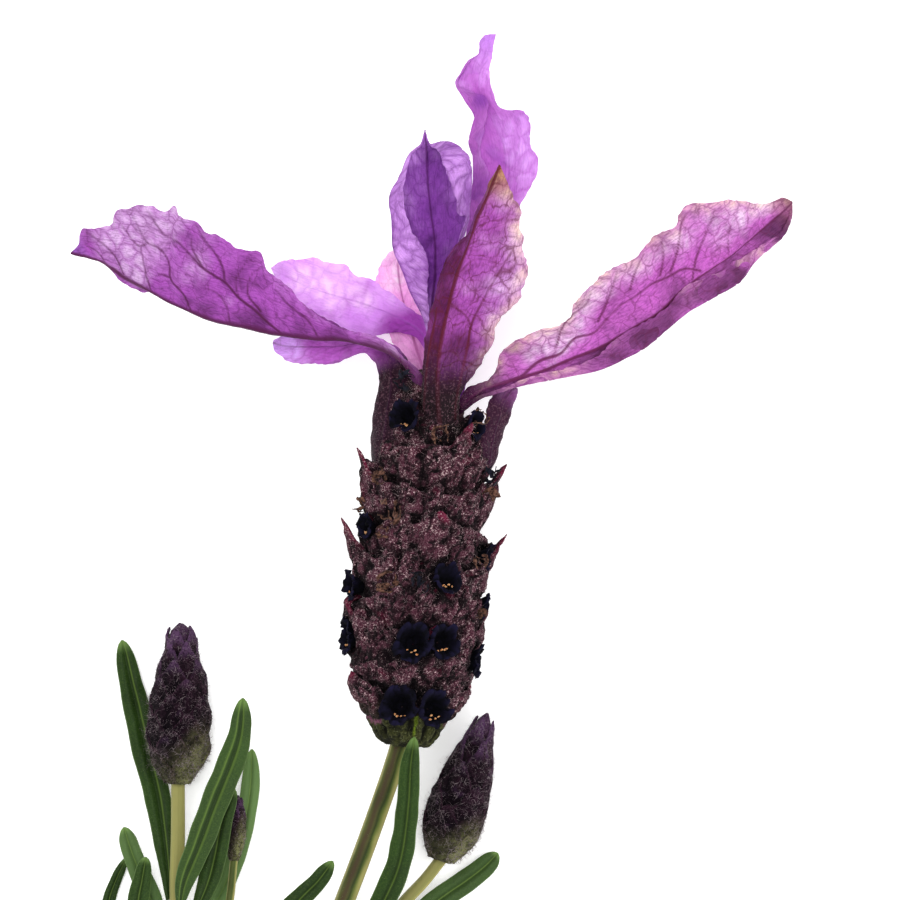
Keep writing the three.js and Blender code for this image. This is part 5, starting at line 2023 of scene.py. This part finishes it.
@dataclass
class Leaf:
    """Narrow leaf: a grooved midrib, margins rolled under, and one or two pale lines."""

    node: str
    half: float
    rib: Rows
    shape: tuple[float, ...] = (0.3, 0.7, 0.95, 1.0, 0.95, 0.82, 0.6)  # half width from stem to tip
    roll: float = 0.22
    channel: float = 12.0
    lines: tuple[float, ...] = (0.0,)  # where the pale lines run, from -1 at the left margin to 1
    bloom: float = 0.0  # how far its skin goes to the pale bloom colour
    thickness: float = 0.3
    fur: float = 0.5
    steps: int = 64

    def _section(self) -> tuple[np.ndarray, np.ndarray]:
        """The closed outline of the leaf cut across, for a half width of one.

        Returns:
            Its points, and how strongly a pale line shows at each.
        """
        s = np.linspace(-1, 1, 25)
        rise = np.sin(math.radians(self.channel)) * np.abs(s) - self.roll * np.abs(s) ** 5
        rise = rise + 0.12 * hump(np.abs(s) - 0.4, 0.25)
        top = np.stack((s, rise - 0.1 * hump(s, 0.1)), axis=-1)
        body = self.thickness / self.half * (1 - 0.6 * np.abs(s) ** 4)
        bottom = np.stack((s, rise - body - 0.14 * hump(s, 0.12)), axis=-1)[::-1][1:-1]
        ring = np.concatenate((top, bottom))
        light = sum(hump(ring[:, 0] - line, 0.06) for line in self.lines)
        return ring, light * np.concatenate((np.ones(len(top)), np.full(len(bottom), 0.6)))

    def build(self) -> Form:
        """Sweep the leaf's section along its midrib.

        Returns:
            The leaf as a closed form.
        """
        t = np.linspace(0, 1, self.steps)
        t = t + 0.02 * np.sin(math.pi * t)
        route = under_lens(curve_at(np.array(self.rib, float), t, even=True))
        width = self.half * curve_at(np.array(self.shape)[:, None], t, even=True)[:, 0]
        width *= 1 + 0.1 * ripple(route, 2.2, self.half)
        width *= np.sqrt(1 - 0.985 * np.clip((t - 0.88) / 0.12, 0, 1) ** 2)
        ring, light = self._section()
        rings = sweep(route, ring[None] * width[:, None, None], UP)
        uneven = ripple(rings, 1.2, self.half * 7) * 0.12 + ripple(rings, 0.6, self.half) * 0.04
        rings = rings + UP * uneven[..., None]
        place = ring[:, 0]
        shade = hump(np.abs(place - np.mean(self.lines)), 0.22) * 0.8
        edge = np.maximum(smoothstep(0.9, 1.0, np.abs(place)) * 0.6, 0.7 * smoothstep(0.93, 1.0, t)[:, None])
        return tube(rings, (np.clip(light, 0, 1) * 0.45, shade, edge, self.bloom), self.fur)


LEAVES: tuple[Leaf, ...] = (
    Leaf(
        "leaf_left_long", half=1.4, lines=(0.25,),
        rib=((-28.0, -45.0, 2.9), (-28.5, -40.0, 1.7), (-29.3, -34.5, 0.9), (-30.4, -30.0, 0.5),
             (-31.3, -26.0, 0.5), (-32.1, -22.5, 0.6), (-32.8, -19.0, 0.7)),
    ),
    Leaf(
        "leaf_left_front", half=1.4, lines=(-0.35, 0.2), bloom=0.06,
        rib=((-27.0, -45.5, 5.5), (-26.5, -43.0, 5.7), (-25.1, -39.5, 6.3), (-23.5, -35.2, 7.0),
             (-22.0, -31.5, 7.6), (-21.05, -28.5, 8.0), (-20.7, -24.8, 8.2)),
    ),
    Leaf(
        "leaf_left_rear", half=1.1, bloom=0.5,
        rib=((-26.2, -48.5, 2.5), (-23.3, -45.0, 1.3), (-21.9, -41.8, 0.8), (-20.7, -38.0, 0.8),
             (-20.0, -34.0, 0.9), (-19.8, -29.9, 1.2)),
    ),
    Leaf(
        "leaf_left_mid", half=1.2,
        rib=((-25.8, -47.0, 4.2), (-24.3, -43.5, 4.4), (-23.5, -40.5, 4.7), (-22.8, -37.0, 5.1),
             (-21.6, -33.8, 5.6)),
    ),
    Leaf(
        "leaf_left_low", half=1.15, bloom=0.3,
        rib=((-27.9, -50.5, 2.8), (-28.9, -48.0, 2.0), (-29.9, -45.0, 1.4), (-30.8, -42.8, 1.2),
             (-31.9, -40.0, 1.2), (-32.6, -37.7, 1.4)),
    ),
    Leaf(
        "leaf_left_lowest", half=1.1,
        rib=((-26.95, -55.9, 3.4), (-29.5, -52.5, 3.4), (-31.0, -49.0, 3.4), (-31.2, -45.5, 3.4),
             (-30.8, -43.0, 3.5), (-30.4, -40.7, 3.6)),
    ),
    Leaf(
        "leaf_left_edge", half=0.7,
        rib=((-25.5, -59.7, 2.6), (-29.5, -57.5, 1.3), (-33.0, -53.5, 0.6), (-34.4, -49.0, 0.4),
             (-34.2, -45.5, 0.4), (-33.4, -43.0, 0.5), (-32.3, -40.7, 0.6)),
    ),
    Leaf(
        "leaf_middle", half=1.15,
        rib=((-23.9, -56.0, 3.5), (-21.8, -52.3, 3.9), (-19.5, -49.5, 4.4), (-17.0, -47.0, 4.8),
             (-14.7, -44.6, 5.2), (-13.2, -43.1, 5.4), (-11.7, -41.1, 5.6)),
    ),
    Leaf(
        "leaf_spike_front", half=1.25, lines=(0.08,),
        rib=((-12.5, -53.0, 5.5), (-10.5, -51.0, 5.8), (-8.5, -48.5, 6.3), (-6.6, -44.9, 7.3),
             (-5.3, -41.9, 8.4), (-4.65, -39.0, 9.2), (-4.2, -35.0, 10.2), (-4.0, -31.5, 10.8),
             (-3.55, -28.7, 11.3)),
    ),
    Leaf(
        "leaf_spike_rear", half=0.9,
        rib=((-14.3, -53.6, 2.2), (-16.2, -51.0, 1.4), (-17.4, -48.5, 0.9), (-18.0, -46.2, 0.8)),
    ),
    Leaf(
        "leaf_right", half=1.25, bloom=0.1,
        rib=((-7.65, -51.2, 2.9), (-4.4, -47.7, 2.0), (-1.0, -44.9, 1.3), (1.6, -43.1, 0.8),
             (3.4, -41.7, 0.6), (4.8, -40.3, 0.5)),
    ),
    Leaf(
        "leaf_low_right", half=1.35,
        rib=((-13.3, -63.0, 2.55), (-9.0, -58.5, 1.7), (-3.5, -53.5, 0.9), (1.0, -49.8, 0.6)),
    ),
    Leaf(
        "leaf_low_left", half=1.2,
        rib=((-16.5, -62.5, 3.0), (-18.4, -58.5, 4.2), (-19.4, -54.0, 5.6), (-19.8, -50.5, 6.4)),
    ),
    Leaf(
        "leaf_foot_left", half=1.4,
        rib=((-17.0, -71.4, 1.2), (-21.0, -69.3, 0.9), (-26.0, -66.0, 0.7), (-31.5, -62.5, 0.6)),
    ),
    Leaf(
        "leaf_foot_right", half=1.35,
        rib=((-13.7, -71.0, 1.3), (-9.5, -67.0, 1.0), (-4.5, -62.8, 0.8), (0.2, -59.5, 0.6)),
    ),
)

STEMS: tuple[Stem, ...] = (
    Stem(
        "stem_main", foot_radius=1.05, top_radius=0.95,
        route=((-15.4, -75.0, 1.05), (-15.4, -71.5, 1.25), (-15.2, -66.5, 1.8), (-14.6, -60.5, 2.7),
               (-13.4, -53.5, 3.8), (-12.0, -49.0, 4.5), (-10.3, -44.5, 5.3), (-8.6, -40.0, 6.2),
               (-6.8, -35.0, 7.2), (-5.7, -31.8, 7.6), (-5.0, -29.5, 7.7), (-4.2, -20.5, 7.7),
               (-2.9, -9.5, 7.7), (-1.6, 0.5, 7.7), (-0.8, 6.5, 7.7)),
    ),
    Stem(
        "stem_left", foot_radius=0.85, top_radius=0.7, stripes=0.5, pale=0.72,
        route=((-17.1, -67.2, 1.9), (-20.5, -63.8, 2.5), (-24.5, -58.0, 3.3), (-26.9, -51.0, 4.0),
               (-27.3, -45.0, 4.2), (-27.2, -38.0, 4.0), (-27.2, -33.0, 3.95)),
    ),
    Stem(
        "stem_right", foot_radius=0.7, top_radius=0.6, stripes=0.6, pale=0.6,
        route=((-12.0, -56.85, 3.15), (-10.8, -54.2, 3.1), (-8.9, -50.6, 3.1), (-6.6, -47.6, 3.1),
               (-4.3, -44.9, 3.1), (-2.6, -43.1, 3.1), (-0.75, -40.75, 3.1)),
    ),
    Stem(
        "stem_rear", foot_radius=0.45, top_radius=0.4, stripes=0.4,
        route=((-24.6, -53.4, 3.3), (-23.4, -50.0, 2.9), (-22.2, -46.0, 2.6), (-21.6, -41.0, 2.6)),
    ),
)


# Studio


@dataclass
class Studio:
    """Pale floor, soft light and the camera that looks straight down."""

    look_at: tuple[float, float, float] = (1.94, 16.62, 7.7)  # millimetres, in the model's frame
    frame_width: float = 90.0
    lens: float = 180.0
    sensor: float = 36.0
    sky: float = 1.2
    table: float = 0.25  # faint light from below, as of a light table
    floor_half: float = 1.5  # metres

    def build(self) -> None:
        """Make the floor, the lights and the camera."""
        scene = bpy.context.scene
        world = bpy.data.worlds.new("soft_sky")
        scene.world = world
        world.use_nodes = True
        world.node_tree.nodes.clear()
        inputs = {"Color": (1, 1, 1, 1), "Strength": self.sky}
        sky = add_node(world.node_tree, "ShaderNodeBackground", inputs)[0]
        add_node(world.node_tree, "ShaderNodeOutputWorld", {"Surface": sky})
        self._floor()
        self._light("key", (-0.08, 0.16, 0.6), 0.3, 1.8)
        self._light("fill", (0.35, -0.1, 0.4), 0.5, 1.0)
        camera = bpy.data.objects.new("camera", bpy.data.cameras.new("camera"))
        scene.collection.objects.link(camera)
        camera.data.lens = self.lens
        camera.data.sensor_width = self.sensor
        camera.data.clip_start = 0.01
        distance = self.frame_width * self.lens / self.sensor
        camera.location = Vector(self.look_at) * MM + Vector((0, 0, distance * MM))
        scene.camera = camera
        scene.view_settings.view_transform = "Standard"
        LOG.info("studio: camera %.0f mm above the spike", distance)

    def _floor(self) -> None:
        """Lay the white card that the sprig lies on."""
        half = self.floor_half
        mesh = bpy.data.meshes.new("floor")
        corners = [(-half, -half, 0), (half, -half, 0), (half, half, 0), (-half, half, 0)]
        mesh.from_pydata(corners, [], [(0, 1, 2, 3)])
        floor = bpy.data.objects.new("floor", mesh)
        bpy.context.scene.collection.objects.link(floor)
        material, tree = blank_material("white_card")
        inputs = {
            "Base Color": colour("#fbfbfb"), "Roughness": 0.9, "Emission Color": (1, 1, 1, 1),
            "Emission Strength": self.table,
        }
        card = add_node(tree, "ShaderNodeBsdfPrincipled", inputs)[0]
        add_node(tree, "ShaderNodeOutputMaterial", {"Surface": card})
        mesh.materials.append(material)

    def _light(self, name: str, place: tuple[float, float, float], size: float, power: float) -> None:
        """Add a square soft light that faces the sprig.

        Args:
            name: its name.
            place: where it hangs, in metres.
            size: its side in metres.
            power: in watts.
        """
        lamp = bpy.data.lights.new(name, "AREA")
        lamp.size = size
        lamp.energy = power
        light = bpy.data.objects.new(name, lamp)
        light.location = place
        light.rotation_euler = (Vector(self.look_at) * MM - Vector(place)).to_track_quat("-Z", "Y").to_euler()
        bpy.context.scene.collection.objects.link(light)


FINISHES: dict[str, Any] = {
    # Woolly spike bract: plum brown under grey-white curled down, crimson at the tips, near black in painted
    # shade
    "velvet": VelvetFinish(
        "woolly_spike_bract", dark="#0b0508", body="#4c2a36", fleck="#cfb2b4", tip="#5e1a32", under="#34301e",
        rib="#4a1626", fleck_share=0.95, blush=0.5,
    ),
    # Base bract: olive green under pale down, with a bright green midrib, dark in the painted shade of its
    # creases
    "base": VelvetFinish(
        "woolly_base_bract", dark="#11110b", body="#36381e", fleck="#787a54", tip="#6a4054", under="#323a1c",
        rib="#5a6c1a", blush=0.0,
    ),
    # Bud scale: dark plum, green low down, purple at the tips, lighter and darker with its painted light and
    # shade
    "bud": VelvetFinish(
        "woolly_bud_scale", dark="#070307", body="#271420", fleck="#84707c", tip="#4c3450", under="#76784e",
        rib="#8e9a56", fleck_share=0.34, blush=0.3,
    ),
    # Green skin, matt under a thin wax bloom
    "stem": GreenFinish(
        "green_stem", body="#525e28", dark="#1c300c", line="#78803e", margin="#9a9458", flush="#3a2a1e",
        grain=0.12,
    ),
    "leaf": GreenFinish(
        "green_leaf", body="#1e350b", dark="#102006", line="#708c3a", margin="#6c8a48", flush="#7a9c5c",
        grain=0.16,
    ),
    # White wool of the spike, pink where the tissue shows through it
    "down": SimpleFinish("short_white_down", "#b09a9e", "#4c363e", 0.5, 0.8, 0.05, 0.2),
    "wool": SimpleFinish("curled_white_wool", "#ccb6b6", "#6a4a54", 0.7, 0.8, 0.05, 0.2),
    # Thin wool of the green parts and of the buds, which lets their skin show
    "green_down": SimpleFinish("green_wool", "#8f9670", "#4c5430", 0.8, 0.8, 0.1, 0.2),
    "bud_down": SimpleFinish("grey_wool", "#9c8e92", "#56464e", 0.9, 0.8, 0.05, 0.2),
    "leaf_down": SimpleFinish("leaf_down", "#7c9464", "#46602e", 0.9, 0.8, 0.1, 0.3),
    # Velvety corolla, nearly black with a faint blue cast, and a painted blue sheen on its raised folds
    "corolla": SimpleFinish("velvet_corolla", "#020204", "#06050d", 0.4, 0.9, 0.0, edge="#16132c"),
    # Pollen-covered anther, orange and dusty
    "anther": SimpleFinish("pollen", "#a05e30", "#c49868", 0.15, 0.9),
    # Dry shreds of corolla, dull brown or nearly black
    "withered_brown": SimpleFinish("withered_corolla_brown", "#241410", "#64463a", 0.3, 0.85, 0.03),
    "withered_navy": SimpleFinish("withered_corolla_navy", "#05050a", "#181824", 0.4, 0.85, 0.03),
}


def build_crown(wardrobe: Wardrobe) -> None:
    """Make the crown's bracts, and the down at their feet.

    Args:
        wardrobe: holder of the materials and the hair trees.
    """
    forms = [item.build() for item in CROWN]
    for item, form in zip(CROWN, forms):
        make_piece(item.name, form, item.finish.make(), [item.node])
    Coat("crown_down", 14, 0.24, 0.01, 77, 1.2).grow(Form.join(forms), wardrobe, "down", Slot.BRACT)


def build_greens(wardrobe: Wardrobe) -> None:
    """Make the stems and leaves, with their thin down.

    Args:
        wardrobe: holder of the materials and the hair trees.
    """
    skins = []
    for name, items, slot in (("stems", STEMS, Slot.STEM), ("leaves", LEAVES, Slot.LEAF)):
        skins.append(Form.join([item.build() for item in items]))
        make_piece(name, skins[-1], wardrobe.finishes[slot.value], [item.node for item in items])
    Coat("green_fuzz", 9, 0.14, 0.012, 31).grow(Form.join(skins), wardrobe, "leaf_down", Slot.LEAF)


def main() -> None:
    """Build the studio and every piece of the sprig, in order."""
    logging.basicConfig(level=logging.INFO, format="%(name)s %(message)s")
    Studio().build()
    wardrobe = Wardrobe({name: finish.make() for name, finish in FINISHES.items()})
    build_crown(wardrobe)
    Spike().build(wardrobe)
    for item in BUDS:
        item.build(wardrobe)
    build_greens(wardrobe)


if __name__ == "__main__":
    main()
